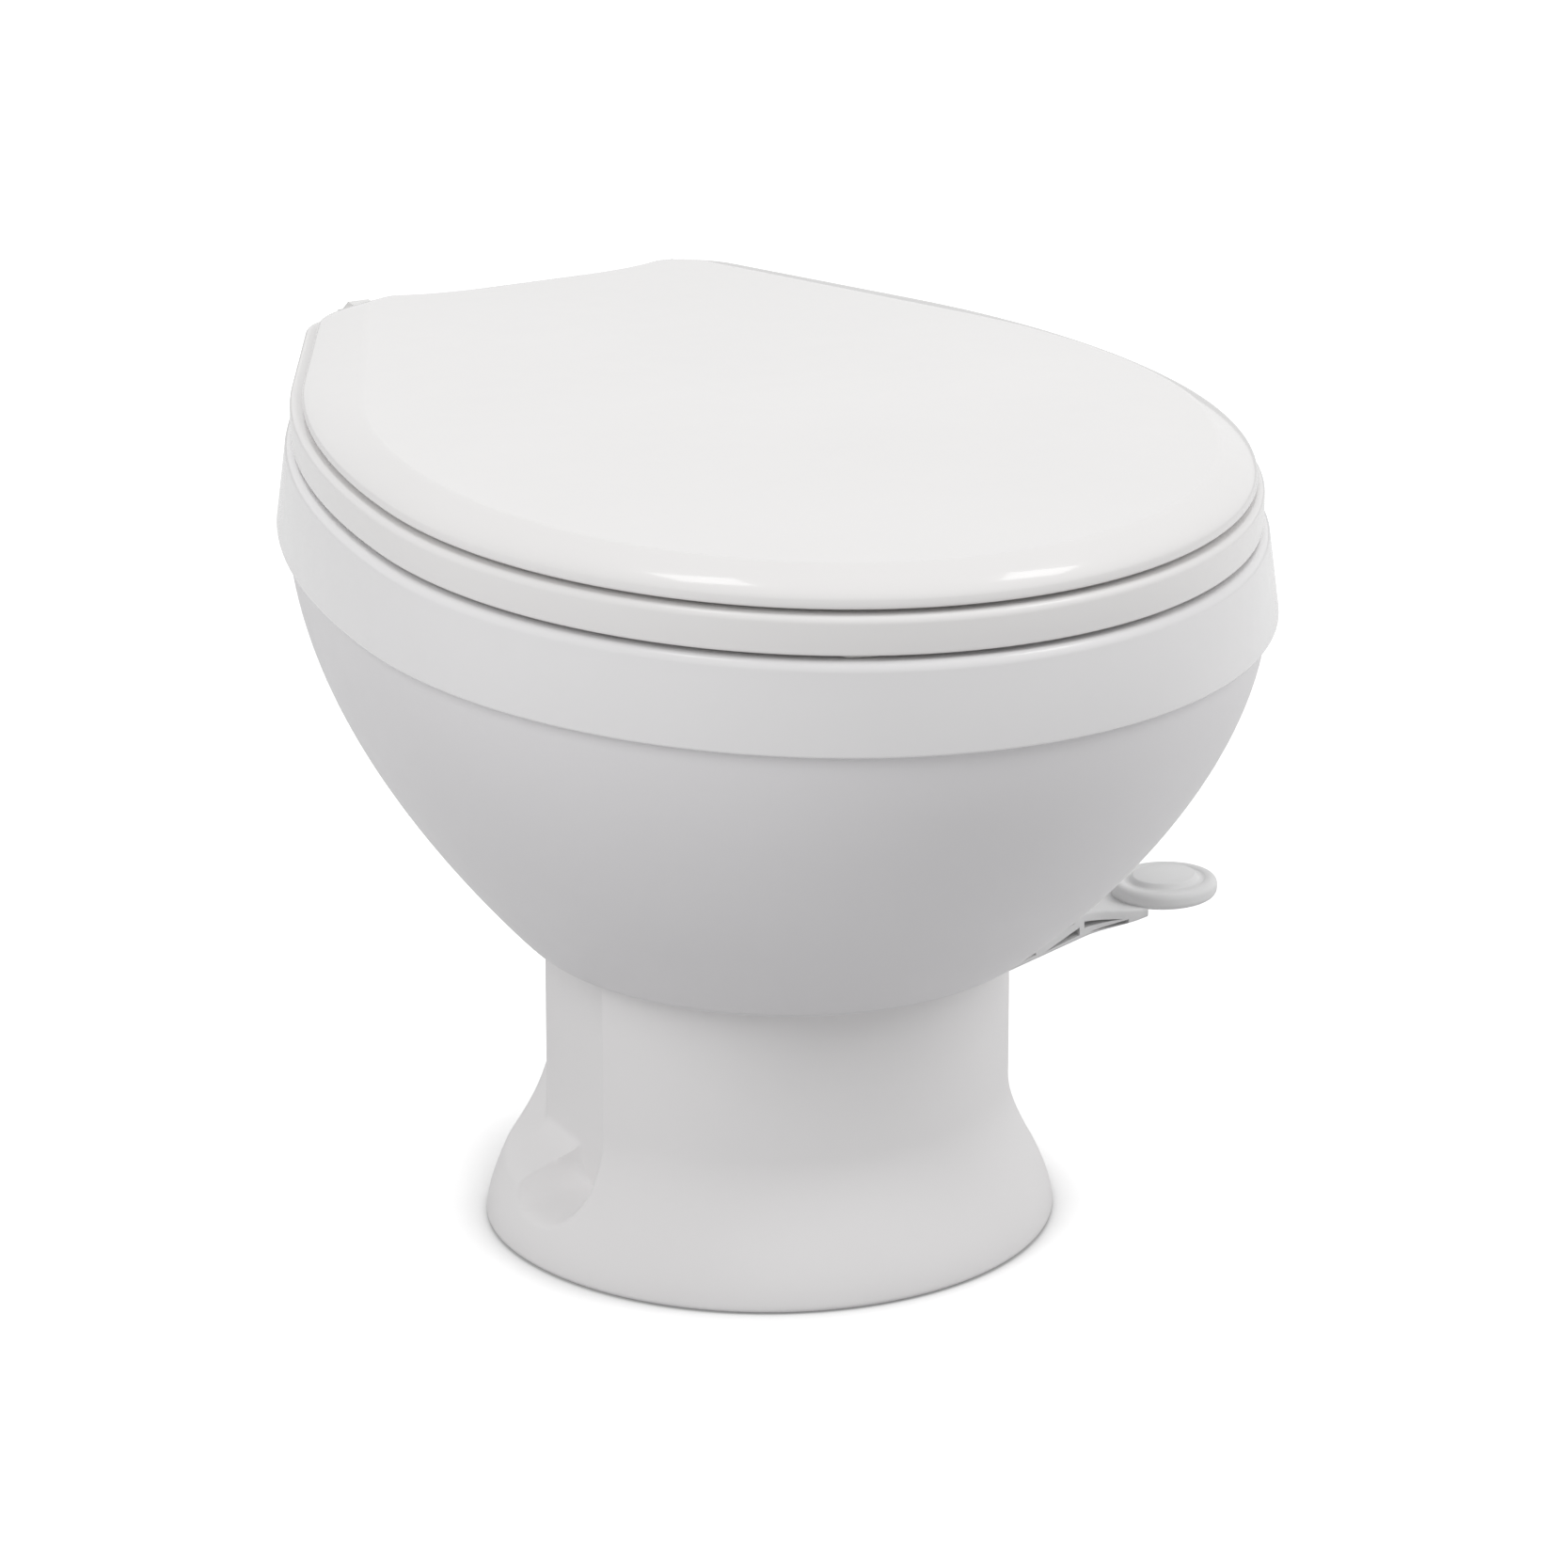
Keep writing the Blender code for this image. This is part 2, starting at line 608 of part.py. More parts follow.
def make_bowl_shell():
    """The outer bowl, open at the rear, with a lip inside the rim and a foot on the neck."""
    height = RIM_LOW_Z - SHELL_LOW_Z
    levels = [SHELL_LOW_Z + height * (i / SHELL_RINGS) ** 1.4 for i in range(SHELL_RINGS + 1)]
    levels.append(SHELL_TOP_Z - GAP)
    foot_z = SHELL_LOW_Z + SHELL_FOOT_HEIGHT
    outer = [outline(shell_plan(z), z) for z in levels]
    inner = [outline(grown(shell_plan(z), -SHELL_WALL), z) for z in reversed(levels) if z > foot_z]
    foot = [outline(grown(shell_plan(foot_z), -SHELL_WALL), foot_z), outline(NECK_CAVITY, foot_z),
            outline(NECK_CAVITY, SHELL_LOW_Z)]
    piece = loft("bowl_shell", outer + inner + foot, BOWL_WHITE, closed=True)
    window_low = SHELL_LOW_Z + SHELL_WINDOW_FLOOR
    cut(piece, block("shell_window",
                     (-SHELL_WINDOW_WIDTH / 2, SHELL_NECK.rear_y, window_low),
                     (SHELL_WINDOW_WIDTH / 2, RIM_PLAN.rear_y + RIM_PLAN.bulge + OVERRUN,
                      window_low + SHELL_WINDOW_HEIGHT),
                     round_edges=SHELL_WALL))
    return piece


def make_rim():
    """The rim and rear deck: an upturned channel that caps the shell and carries flush water."""
    edge_z = RIM_TOP_Z - RIM_EDGE_RADIUS
    half_edge = RIM_EDGE_RADIUS * (1 - math.cos(math.pi / 4))
    skirt_z = RIM_TOP_Z - RIM_SKIRT_DROP
    section = [
        (RIM_PLAN, -RIM_FOOT_ROUND, RIM_LOW_Z),
        (RIM_PLAN, 0.0, RIM_LOW_Z + RIM_FOOT_ROUND),
        (RIM_PLAN, -RIM_LEAN, edge_z),
        (RIM_PLAN, -RIM_LEAN - half_edge, RIM_TOP_Z - half_edge),
        (RIM_PLAN, -RIM_LEAN - RIM_EDGE_RADIUS, RIM_TOP_Z),
        (RIM_OPENING, RIM_EDGE_RADIUS, RIM_TOP_Z),
        (RIM_OPENING, half_edge, RIM_TOP_Z - half_edge),
        (RIM_OPENING, 0.0, edge_z),
        (RIM_OPENING, 0.0, skirt_z),
        (RIM_OPENING, RIM_SKIRT_WALL, skirt_z),
        (RIM_OPENING, RIM_SKIRT_WALL, RIM_CEILING_Z),
        (RIM_PLAN, -RIM_LEAN - RIM_WALL, RIM_CEILING_Z),
        (RIM_PLAN, -RIM_LEAN - RIM_WALL, SHELL_TOP_Z),
        (RIM_PLAN, -RIM_RABBET, SHELL_TOP_Z),
        (RIM_PLAN, -RIM_RABBET, RIM_LOW_Z),
    ]
    piece = loft("rim", [outline(grown(p, g), z) for p, g, z in section], BOWL_WHITE, closed=True)
    holes = group("rim_bolt_holes",
                  [turned_solid([(HINGE_BOLT_RADIUS + BORE_GAP, RIM_CEILING_Z - OVERRUN),
                                 (HINGE_BOLT_RADIUS + BORE_GAP, RIM_TOP_Z + OVERRUN)],
                                Vector((side * HINGE_X, HINGE_AXIS_Y - HINGE_BOLT_SETBACK, 0.0)))
                   for side in (-1, 1)], None)
    cut(piece, holes)
    return piece


def basin_rear_y():
    return grown(RIM_OPENING, RIM_SKIRT_WALL + BASIN_CHANNEL + BASIN_WALL).rear_y


def make_basin():
    """The inner bowl, from under the rim's skirt down to the clamped outlet flange."""
    top_z = RIM_CEILING_Z - GAP
    throat_z = HOUSING_TOP_Z + BASIN_THROAT
    inner_top = outline(grown(RIM_OPENING, RIM_SKIRT_WALL + BASIN_CHANNEL), top_z)
    outer_top = outline(grown(RIM_OPENING, RIM_SKIRT_WALL + BASIN_CHANNEL + BASIN_WALL), top_z)
    inner_low = circle_like(inner_top, OUTLET_RADIUS, throat_z)
    outer_low = circle_like(inner_top, OUTLET_RADIUS + SPIGOT_WALL, throat_z)

    def wall(low, high):
        rings = []
        for i in range(1, BASIN_RINGS + 1):
            share = (i / BASIN_RINGS) ** 1.3
            z = throat_z + (top_z - throat_z) * share
            rings.append(mixed(low, high, swell(share, BASIN_POWER, BASIN_ROOT), z))
        return rings

    flange_low = HOUSING_TOP_Z + GAP
    flange_high = flange_low + HOUSING_FLANGE_HEIGHT - GAP
    outer = [
        circle_like(inner_top, OUTLET_RADIUS, flange_low),
        circle_like(inner_top, HOUSING_FLANGE_RADIUS, flange_low),
        circle_like(inner_top, HOUSING_FLANGE_RADIUS, flange_high),
        circle_like(inner_top, OUTLET_RADIUS + SPIGOT_WALL, flange_high),
        outer_low,
    ] + wall(outer_low, outer_top)
    inner = list(reversed(wall(inner_low, inner_top))) + [inner_low]
    piece = loft("basin", outer + inner, BOWL_WHITE, closed=True)
    cut(piece, rod("flush_port", PORT_RADIUS, basin_rear_y() - BASIN_WALL - OVERRUN,
                   basin_rear_y() + OVERRUN, None, "Y", Vector((0.0, 0.0, RIM_CEILING_Z - PORT_DROP))))
    return piece


def make_housing():
    """The flush valve's body, with a boss for a bush at the front and at the rear."""
    low = FLOOR_SEAL_HEIGHT + GAP
    mouth_z = HOUSING_TOP_Z - HOUSING_MOUTH_DEPTH
    profile = [
        (HOUSING_FOOT_RADIUS, low), (HOUSING_FOOT_RADIUS, low + HOUSING_FOOT_HEIGHT),
        (HOUSING_RADIUS, low + HOUSING_FOOT_HEIGHT),
        (HOUSING_RADIUS, HOUSING_TOP_Z - HOUSING_FLANGE_HEIGHT),
        (HOUSING_FLANGE_RADIUS, HOUSING_TOP_Z - HOUSING_FLANGE_HEIGHT),
        (HOUSING_FLANGE_RADIUS, HOUSING_TOP_Z), (HOUSING_MOUTH, HOUSING_TOP_Z),
        (HOUSING_MOUTH, mouth_z), (HOUSING_BORE, mouth_z - HOUSING_SHOULDER),
        (HOUSING_BORE, HOUSING_FLOOR_Z), (DRAIN_RADIUS, DRAIN_HEIGHT), (DRAIN_RADIUS, low),
    ]
    piece = turned("valve_housing", profile, VALVE_GREY, closed=True, steps=36)
    for side, label in ((-1, "front"), (1, "rear")):
        inner, outer = side * BOSS_INNER, side * BOSS_OUTER
        join(piece, rod(f"boss_{label}", BOSS_RADIUS, min(inner, outer), max(inner, outer), None, "Y",
                        Vector((0.0, 0.0, BALL_AXIS_Z))))
        start, end = side * (BOSS_INNER - OVERRUN), side * (BOSS_OUTER + OVERRUN)
        cut(piece, rod(f"boss_bore_{label}", BUSH_RADIUS + BORE_GAP, min(start, end), max(start, end),
                       None, "Y", Vector((0.0, 0.0, BALL_AXIS_Z))))
    return piece


def make_floor_seal():
    profile = [(FLOOR_SEAL_OUTER, 0.0), (FLOOR_SEAL_OUTER, FLOOR_SEAL_HEIGHT),
               (FLOOR_SEAL_INNER, FLOOR_SEAL_HEIGHT), (FLOOR_SEAL_INNER, 0.0)]
    return turned("floor_seal", profile, RUBBER, closed=True)


def make_outlet_seal():
    """The rubber ring between the outlet and the ball, whose lower face follows the ball."""
    reach = BALL_RADIUS + GAP
    lower = []
    for i in range(4):
        radius = SEAL_INNER + (SEAL_OUTER - SEAL_INNER) * i / 3
        lower.append((radius, BALL_AXIS_Z + math.sqrt(reach ** 2 - radius ** 2) + GAP))
    profile = lower + [(SEAL_OUTER, HOUSING_TOP_Z), (SEAL_INNER, HOUSING_TOP_Z)]
    return turned("outlet_seal", profile, RUBBER, closed=True)


def make_clamp():
    """Two half rings of channel section round both flanges, drawn together by two screws."""
    low_inner = HOUSING_TOP_Z - HOUSING_FLANGE_HEIGHT - GAP
    high_inner = HOUSING_TOP_Z + HOUSING_FLANGE_HEIGHT + GAP
    low, high = low_inner - CLAMP_LIP_HEIGHT, high_inner + CLAMP_LIP_HEIGHT
    groove = HOUSING_FLANGE_RADIUS + GAP
    profile = [(CLAMP_RADIUS, low), (CLAMP_RADIUS, high), (CLAMP_LIP, high), (CLAMP_LIP, high_inner),
               (groove, high_inner), (groove, low_inner), (CLAMP_LIP, low_inner), (CLAMP_LIP, low)]
    split = math.asin(CLAMP_SPLIT / 2 / CLAMP_RADIUS)
    middle = (low + high) / 2
    ear_x = groove + (CLAMP_RADIUS - groove) / 2
    screw_x = CLAMP_RADIUS + CLAMP_EAR_LENGTH / 2
    for turn, label in ((0.0, "rear"), (math.pi, "front")):
        half = turned(f"clamp_{label}", profile, STEEL, start=turn + split, sweep=math.pi - 2 * split,
                      steps=20)
        side = 1 if label == "rear" else -1
        near = side * CLAMP_SPLIT / 2
        far = side * (CLAMP_SPLIT / 2 + CLAMP_EAR_THICKNESS)
        for hand in (-1, 1):
            x0, x1 = hand * ear_x, hand * (CLAMP_RADIUS + CLAMP_EAR_LENGTH)
            join(half, block(f"ear_{label}_{hand}", (min(x0, x1), min(near, far), low + GAP),
                             (max(x0, x1), max(near, far), high - GAP)))
            cut(half, rod(f"ear_hole_{label}_{hand}", CLAMP_SCREW_RADIUS + BORE_GAP,
                          min(near, far) - OVERRUN, max(near, far) + OVERRUN, None, "Y",
                          Vector((hand * screw_x, 0.0, middle))))
    reach = CLAMP_SPLIT / 2 + CLAMP_EAR_THICKNESS + GAP
    profile = [(CLAMP_SCREW_HEAD, -reach - CLAMP_HEAD_HEIGHT), (CLAMP_SCREW_HEAD, -reach),
               (CLAMP_SCREW_RADIUS, -reach), (CLAMP_SCREW_RADIUS, reach), (CLAMP_SCREW_HEAD, reach),
               (CLAMP_SCREW_HEAD, reach + CLAMP_HEAD_HEIGHT)]
    for hand in (-1, 1):
        turned(f"clamp_screw_{SIDE_NAMES[hand]}", profile, STEEL, "Y",
               Vector((hand * screw_x, 0.0, middle)), steps=12)


def make_ball():
    """The blade of the flush valve: a band of a hollow ball with a hub at each end."""
    inner_radius = BALL_RADIUS - BALL_WALL
    steps = 9
    outer = [(BALL_RADIUS * math.sin(math.pi / 2 * i / steps), BALL_RADIUS * math.cos(math.pi / 2 * i / steps))
             for i in range(1, steps + 1)]
    inner = [(inner_radius * math.sin(math.pi / 2 * i / steps), inner_radius * math.cos(math.pi / 2 * i / steps))
             for i in range(steps, 0, -1)]
    piece = turned("flush_ball", outer + inner, VALVE_GREY, centre=Vector((0.0, 0.0, BALL_AXIS_Z)),
                   steps=36)
    for side, label in ((-1, "left"), (1, "right")):
        x0, x1 = side * BALL_HALF_WIDTH, side * (BALL_RADIUS + OVERRUN)
        cut(piece, block(f"ball_trim_{label}",
                         (min(x0, x1), -BALL_RADIUS - OVERRUN, BALL_AXIS_Z - OVERRUN),
                         (max(x0, x1), BALL_RADIUS + OVERRUN, BALL_AXIS_Z + BALL_RADIUS + OVERRUN)))
    for side, label in ((-1, "front"), (1, "rear")):
        centre = Vector((0.0, 0.0, BALL_AXIS_Z))
        inner_y, outer_y = side * BALL_HUB_INNER, side * BALL_HUB_OUTER
        join(piece, rod(f"ball_hub_{label}", BALL_HUB_RADIUS, min(inner_y, outer_y),
                        max(inner_y, outer_y), None, "Y", centre))
        start, end = side * (SHAFT_SEAT - GAP), side * (BALL_HUB_OUTER + OVERRUN)
        cut(piece, rod(f"hub_socket_{label}", SHAFT_RADIUS + BORE_GAP, min(start, end),
                       max(start, end), None, "Y", centre))
    return piece


def make_shafts():
    centre = Vector((0.0, 0.0, BALL_AXIS_Z))
    drive = rod("drive_shaft", SHAFT_RADIUS, SHAFT_SEAT, SHAFT_REAR_END, STEEL, "Y", centre)
    stub = rod("pivot_stub", SHAFT_RADIUS, -STUB_END, -SHAFT_SEAT, STEEL, "Y", centre)
    bore = SHAFT_RADIUS + BORE_GAP
    for side, label in ((-1, "front"), (1, "rear")):
        face = BOSS_OUTER + GAP
        profile = [(BUSH_RADIUS, side * (BOSS_INNER + GAP)), (BUSH_RADIUS, side * face),
                   (BUSH_FLANGE_RADIUS, side * face), (BUSH_FLANGE_RADIUS, side * (face + BUSH_FLANGE)),
                   (bore, side * (face + BUSH_FLANGE)), (bore, side * (BOSS_INNER + GAP))]
        turned(f"shaft_bush_{label}", profile, HINGE_WHITE, "Y", centre, closed=True, steps=SMALL_STEPS)
    return [drive, stub]


def tooth_half_angle(radius, teeth):
    """Half the angle that a tooth takes at a radius, thinned for backlash."""
    pitch = GEAR_MODULE * teeth / 2
    base = pitch * math.cos(PRESSURE_ANGLE)

    def involute(angle):
        return math.tan(angle) - angle
    slope = math.acos(min(base / radius, 1.0))
    return (math.pi / (2 * teeth) - BACKLASH / 2 / pitch + involute(PRESSURE_ANGLE) - involute(slope))


def tooth(teeth, middle):
    """A tooth's outline about its gear's centre, from the root up one flank and down the other."""
    pitch = GEAR_MODULE * teeth / 2
    root = pitch - DEDENDUM_SHARE * GEAR_MODULE
    tip = pitch + ADDENDUM_SHARE * GEAR_MODULE
    levels = [root + (tip - root) * i / 4 for i in range(5)]
    flank = [(r, tooth_half_angle(r, teeth)) for r in levels]
    points = [(r, middle - a) for r, a in flank] + [(r, middle + a) for r, a in reversed(flank)]
    return [(r * math.cos(angle), r * math.sin(angle)) for r, angle in points]


def make_pinion():
    points = []
    for k in range(PINION_TEETH):
        points += tooth(PINION_TEETH, 2 * math.pi * (k + 1 / 2) / PINION_TEETH)
    points = [(x, z + BALL_AXIS_Z) for x, z in points]
    piece = prism("pinion", points, "Y", GEAR_START_Y, GEAR_START_Y + GEAR_WIDTH, STEEL)
    cut(piece, rod("pinion_bore", SHAFT_RADIUS + BORE_GAP, GEAR_START_Y - OVERRUN,
                   GEAR_START_Y + GEAR_WIDTH + OVERRUN, None, "Y", Vector((0.0, 0.0, BALL_AXIS_Z))))
    return piece


def make_bracket():
    """A bent plate on the rear boss that carries the drive shaft's end and the pedal's pin."""
    right = PIVOT_X + BRACKET_EDGE
    low, high = BALL_AXIS_Z - PLATE_HALF_HEIGHT, BALL_AXIS_Z + PLATE_HALF_HEIGHT
    rear = BRACKET_REAR_Y + PLATE
    points = [(-BRACKET_END, BRACKET_FRONT_Y), (right, BRACKET_FRONT_Y),
              (right, BRACKET_FRONT_Y + PLATE), (-BRACKET_END + PLATE, BRACKET_FRONT_Y + PLATE),
              (-BRACKET_END + PLATE, BRACKET_REAR_Y), (right, BRACKET_REAR_Y), (right, rear),
              (-BRACKET_END, rear)]
    piece = prism("pedal_bracket", points, "Z", low, high, STEEL)
    for label, x, radius in (("shaft", 0.0, SHAFT_RADIUS), ("pin", PIVOT_X, PIN_RADIUS)):
        cut(piece, rod(f"bracket_{label}_hole", radius + BORE_GAP, BRACKET_FRONT_Y - OVERRUN,
                       rear + OVERRUN, None, "Y", Vector((x, 0.0, BALL_AXIS_Z))))
    head = BRACKET_FRONT_Y - GAP
    tail = rear + GAP
    profile = [(PIN_HEAD_RADIUS, head - PIN_HEAD), (PIN_HEAD_RADIUS, head), (PIN_RADIUS, head),
               (PIN_RADIUS, tail), (PIN_HEAD_RADIUS, tail), (PIN_HEAD_RADIUS, tail + PIN_HEAD)]
    turned("pedal_pin", profile, STEEL, "Y", Vector((PIVOT_X, 0.0, BALL_AXIS_Z)), steps=SMALL_STEPS)
    return piece


def make_spring():
    """The pedal's return spring, an unbroken coil round the pin behind the gear."""
    start_y = GEAR_START_Y + GEAR_WIDTH + 2 * GAP + SPRING_WIRE / 2
    curve = bpy.data.curves.new("return_spring", "CURVE")
    curve.dimensions = "3D"
    curve.bevel_depth = SPRING_WIRE / 2
    curve.bevel_resolution = 1
    curve.use_fill_caps = True
    count = SPRING_TURNS * SPRING_TURN_POINTS
    points = []
    for i in range(count + 1):
        angle = 2 * math.pi * i / SPRING_TURN_POINTS
        points.append(Vector((PIVOT_X + SPRING_RADIUS * math.cos(angle),
                              start_y + SPRING_PITCH * i / SPRING_TURN_POINTS,
                              BALL_AXIS_Z + SPRING_RADIUS * math.sin(angle))))
    spline = curve.splines.new("POLY")
    spline.points.add(count)
    for knot, point in zip(spline.points, points):
        knot.co = (*point, UNIT)
    piece = bpy.data.objects.new("return_spring", curve)
    curve.materials.append(material(*STEEL))
    bpy.context.scene.collection.objects.link(piece)
    apart = min((a - b).length for i, a in enumerate(points) for b in points[i + SPRING_TURN_POINTS // 2:])
    print(f"least gap between spring turns: {(apart - SPRING_WIRE) * 1000:.2f} mm")
    return piece


def pad_ring(inset, z):
    """An oval of the pedal's pad."""
    ring = []
    for k in range(ROUND_STEPS):
        angle = 2 * math.pi * k / ROUND_STEPS
        ring.append(Vector((PAD_CENTRE.x + (PAD_HALF_LENGTH - inset) * math.cos(angle),
                            PAD_CENTRE.y + (PAD_HALF_DEPTH - inset) * math.sin(angle), z)))
    return ring


def lever_low_z(x):
    """The lever's lower edge: level beside its hub, then rising to its pad."""
    share = max((x - LEVER_DEEP_X) / (LEVER_END_X - LEVER_DEEP_X), 0.0)
    return LEVER_TOP_Z - LEVER_DEEP - (LEVER_SHALLOW - LEVER_DEEP) * share


def make_pedal():
    """The pedal: a ribbed lever with a hub, a toothed sector on its inner end and an oval pad."""
    gear_end = GEAR_START_Y + GEAR_WIDTH
    start_x = PIVOT_X + HUB_RADIUS
    start_y = (GEAR_START_Y + gear_end) / 2

    def lever_points(x, y, half):
        low = lever_low_z(x)
        return [Vector((x, y - half, LEVER_TOP_Z)), Vector((x, y + half, LEVER_TOP_Z)),
                Vector((x, y + half, low)), Vector((x, y - half, low))]

    half = LEVER_WIDTH / 2
    piece = loft("pedal", [lever_points(start_x, start_y, GEAR_WIDTH / 2),
                           lever_points(start_x + LEVER_WIDTH, PAD_CENTRE.y, half),
                           lever_points(LEVER_DEEP_X, PAD_CENTRE.y, half),
                           lever_points(LEVER_END_X, PAD_CENTRE.y, half)], PEDAL_WHITE)
    bays = []
    bay = (PAD_CENTRE.x - PAD_HALF_LENGTH - LEVER_DEEP_X) / LEVER_BAYS
    for i in range(LEVER_BAYS):
        x0, x1 = LEVER_DEEP_X + bay * i, LEVER_DEEP_X + bay * (i + 1)
        for hand in (-1, 1):
            for upper in (True, False):
                bays.append(lever_bay(x0, x1, hand, upper))
    cut(piece, group("lever_pockets", bays, None))
    join(piece, rod("pedal_hub", HUB_RADIUS, GEAR_START_Y, gear_end, None, "Y",
                    Vector((PIVOT_X, 0.0, BALL_AXIS_Z)), steps=24))
    join(piece, prism("hub_neck", [(PIVOT_X, BALL_AXIS_Z - HUB_RADIUS + GAP),
                                   (start_x + OVERRUN, lever_low_z(start_x) + GAP),
                                   (start_x + OVERRUN, LEVER_TOP_Z - GAP),
                                   (PIVOT_X, BALL_AXIS_Z + HUB_RADIUS - GAP)],
                      "Y", GEAR_START_Y + GAP, gear_end - GAP))
    join(piece, sector_prism(gear_end))
    low = PAD_TOP_Z - PAD_THICKNESS
    brim = PAD_TOP_Z - PAD_RAISE
    join(piece, loft("pad", [
        pad_ring(PAD_EDGE, low), pad_ring(0.0, low + PAD_EDGE), pad_ring(0.0, brim - PAD_EDGE),
        pad_ring(PAD_EDGE / 2, brim), pad_ring(PAD_BORDER, brim - PAD_GROOVE / 2),
        pad_ring(PAD_BORDER + PAD_GROOVE, brim - PAD_GROOVE / 2),
        pad_ring(PAD_BORDER + 2 * PAD_GROOVE, PAD_TOP_Z)], None))
    cut(piece, rod("pedal_bore", PIN_RADIUS + BORE_GAP, GEAR_START_Y - OVERRUN, gear_end + OVERRUN,
                   None, "Y", Vector((PIVOT_X, 0.0, BALL_AXIS_Z))))
    return piece


def lever_bay(x0, x1, hand, upper):
    """One three-cornered pocket in a side of the lever, between its flange and slanting ribs."""
    ceiling = LEVER_TOP_Z - LEVER_FLANGE
    near, far = x0 + LEVER_RIB / 2, x1 - LEVER_RIB / 2
    floor_near, floor_far = lever_low_z(near) + LEVER_RIB, lever_low_z(far) + LEVER_RIB
    if upper:
        corners = [(near, ceiling), (far - LEVER_RIB, ceiling), (near, floor_near + LEVER_RIB)]
    else:
        corners = [(near + LEVER_RIB, floor_near), (far, floor_far), (far, ceiling - LEVER_RIB)]
    points = []
    for out in (LEVER_WEB / 2, LEVER_WIDTH):
        points += [Vector((x, PAD_CENTRE.y + hand * out, z)) for x, z in corners]
    return points, loft_faces(2, 3, False)


def sector_prism(gear_end):
    """The sector's outline: an arm from the hub out to its teeth."""
    pitch_angle = 2 * math.pi / SECTOR_TEETH
    points = []
    for k in range(SECTOR_FIRST_TOOTH, SECTOR_LAST_TOOTH + 1):
        points += tooth(SECTOR_TEETH, math.pi + pitch_angle * k)
    points += [(0.0, -HUB_RADIUS + 2 * GAP), (0.0, HUB_RADIUS - 2 * GAP)]
    points = [(PIVOT_X + x, BALL_AXIS_Z + z) for x, z in points]
    return prism("sector", points, "Y", GEAR_START_Y + GAP, gear_end - GAP)


def make_seat():
    """The seat: a closed ring with a rounded edge and a dished top."""
    outer_plan = grown(RIM_PLAN, -SEAT_INSET)._replace(bulge=COVER_BULGE)
    half_edge = SEAT_EDGE * (1 - math.cos(math.pi / 4))
    section = [
        (outer_plan, -SEAT_FOOT_ROUND, SEAT_LOW_Z),
        (outer_plan, 0.0, SEAT_LOW_Z + SEAT_FOOT_ROUND),
        (outer_plan, 0.0, SEAT_TOP_Z - SEAT_EDGE),
        (outer_plan, -half_edge, SEAT_TOP_Z - half_edge),
        (outer_plan, -SEAT_EDGE, SEAT_TOP_Z),
        (SEAT_OPENING, SEAT_DISH_WIDTH, SEAT_TOP_Z),
        (SEAT_OPENING, SEAT_EDGE, SEAT_TOP_Z - SEAT_DISH),
        (SEAT_OPENING, 0.0, SEAT_TOP_Z - SEAT_DISH - SEAT_EDGE),
        (SEAT_OPENING, 0.0, SEAT_LOW_Z + SEAT_FOOT_ROUND),
        (SEAT_OPENING, SEAT_FOOT_ROUND, SEAT_LOW_Z),
    ]
    piece = loft("seat", [outline(grown(p, g), z) for p, g, z in section], ENAMEL, closed=True)
    cut_leaf_seats(piece, "seat", SEAT_LOW_Z, -1)
    return piece


def lid_top_plan(side):
    """Where the shoulder ends: well inside the front and the sides, close to the rear edge."""
    return side._replace(
        half_width=side.half_width - LID_SHOULDER, front=side.front - LID_SHOULDER,
        back=side.back - LID_TOP_SHORTER, taper=LID_TOP_TAPER,
        rear_y=side.rear_y - LID_REAR_ROUND, corner=LID_TOP_CORNER)


def make_lid():
    """The lid: a solid board with a low upright side, a broad sloping shoulder and a slight crown."""
    plan = grown(RIM_PLAN, -LID_INSET)._replace(bulge=COVER_BULGE)
    plan = plan._replace(back=plan.back - LID_NARROWING, rear_y=plan.rear_y - LID_REAR_SETBACK)
    side_top = LID_LOW_Z + LID_SIDE_HEIGHT
    rings = [outline(grown(plan, -LID_FOOT_ROUND), LID_LOW_Z),
             outline(plan, LID_LOW_Z + LID_FOOT_ROUND),
             outline(grown(plan, -LID_SIDE_LEAN), side_top)]
    side = grown(plan, -LID_SIDE_LEAN)
    top = lid_top_plan(side)
    for i in range(1, LID_SHOULDER_STEPS + 1):
        share = (i / LID_SHOULDER_STEPS) ** 2
        rings.append(outline(blended(side, top, share, share),
                             side_top + (LID_TOP_Z - side_top) * share ** LID_SHOULDER_POWER))
    for i in (1, 2):
        rise = LID_CROWN * (1 - ((2 - i) / 2) ** 2)
        rings.append(outline(grown(top, -LID_CROWN_STEP * i), LID_TOP_Z + rise))
    for point in (point for ring in rings for point in ring):
        share = (point.y - LID_THINNING_START_Y) / (plan.rear_y - LID_THINNING_START_Y)
        kept = 1 - (1 - LID_REAR_SHARE) * min(max(share, 0.0), 1.0)
        point.z = LID_LOW_Z + (point.z - LID_LOW_Z) * kept
    piece = loft("lid", rings, ENAMEL)
    cut_leaf_seats(piece, "lid", LID_LOW_Z, 1)
    return piece


def leaf_span(side, hand):
    """The x range of a knuckle: inside its post for the seat (-1), outside for the lid (1)."""
    near = HINGE_X + hand * (POST_WIDTH / 2 + KNUCKLE_GAP)
    far = near + hand * KNUCKLE_WIDTH
    ends = sorted((side * near, side * far))
    return ends[0], ends[1]


def leaf_rear_y(hand):
    """The rear edge of the seat (-1) or the lid (1) over its leaves."""
    inset = SEAT_INSET if hand < 0 else LID_INSET + LID_REAR_SETBACK
    return RIM_PLAN.rear_y - inset + COVER_BULGE


def leaf_screw_places(side, hand):
    """Where a leaf's screws stand, along the middle of its plate."""
    low, high = leaf_span(side, hand)
    rear = leaf_rear_y(hand)
    return [Vector(((low + high) / 2, rear - LEAF_LENGTH * share, 0.0)) for share in SCREW_SETBACK_SHARES]


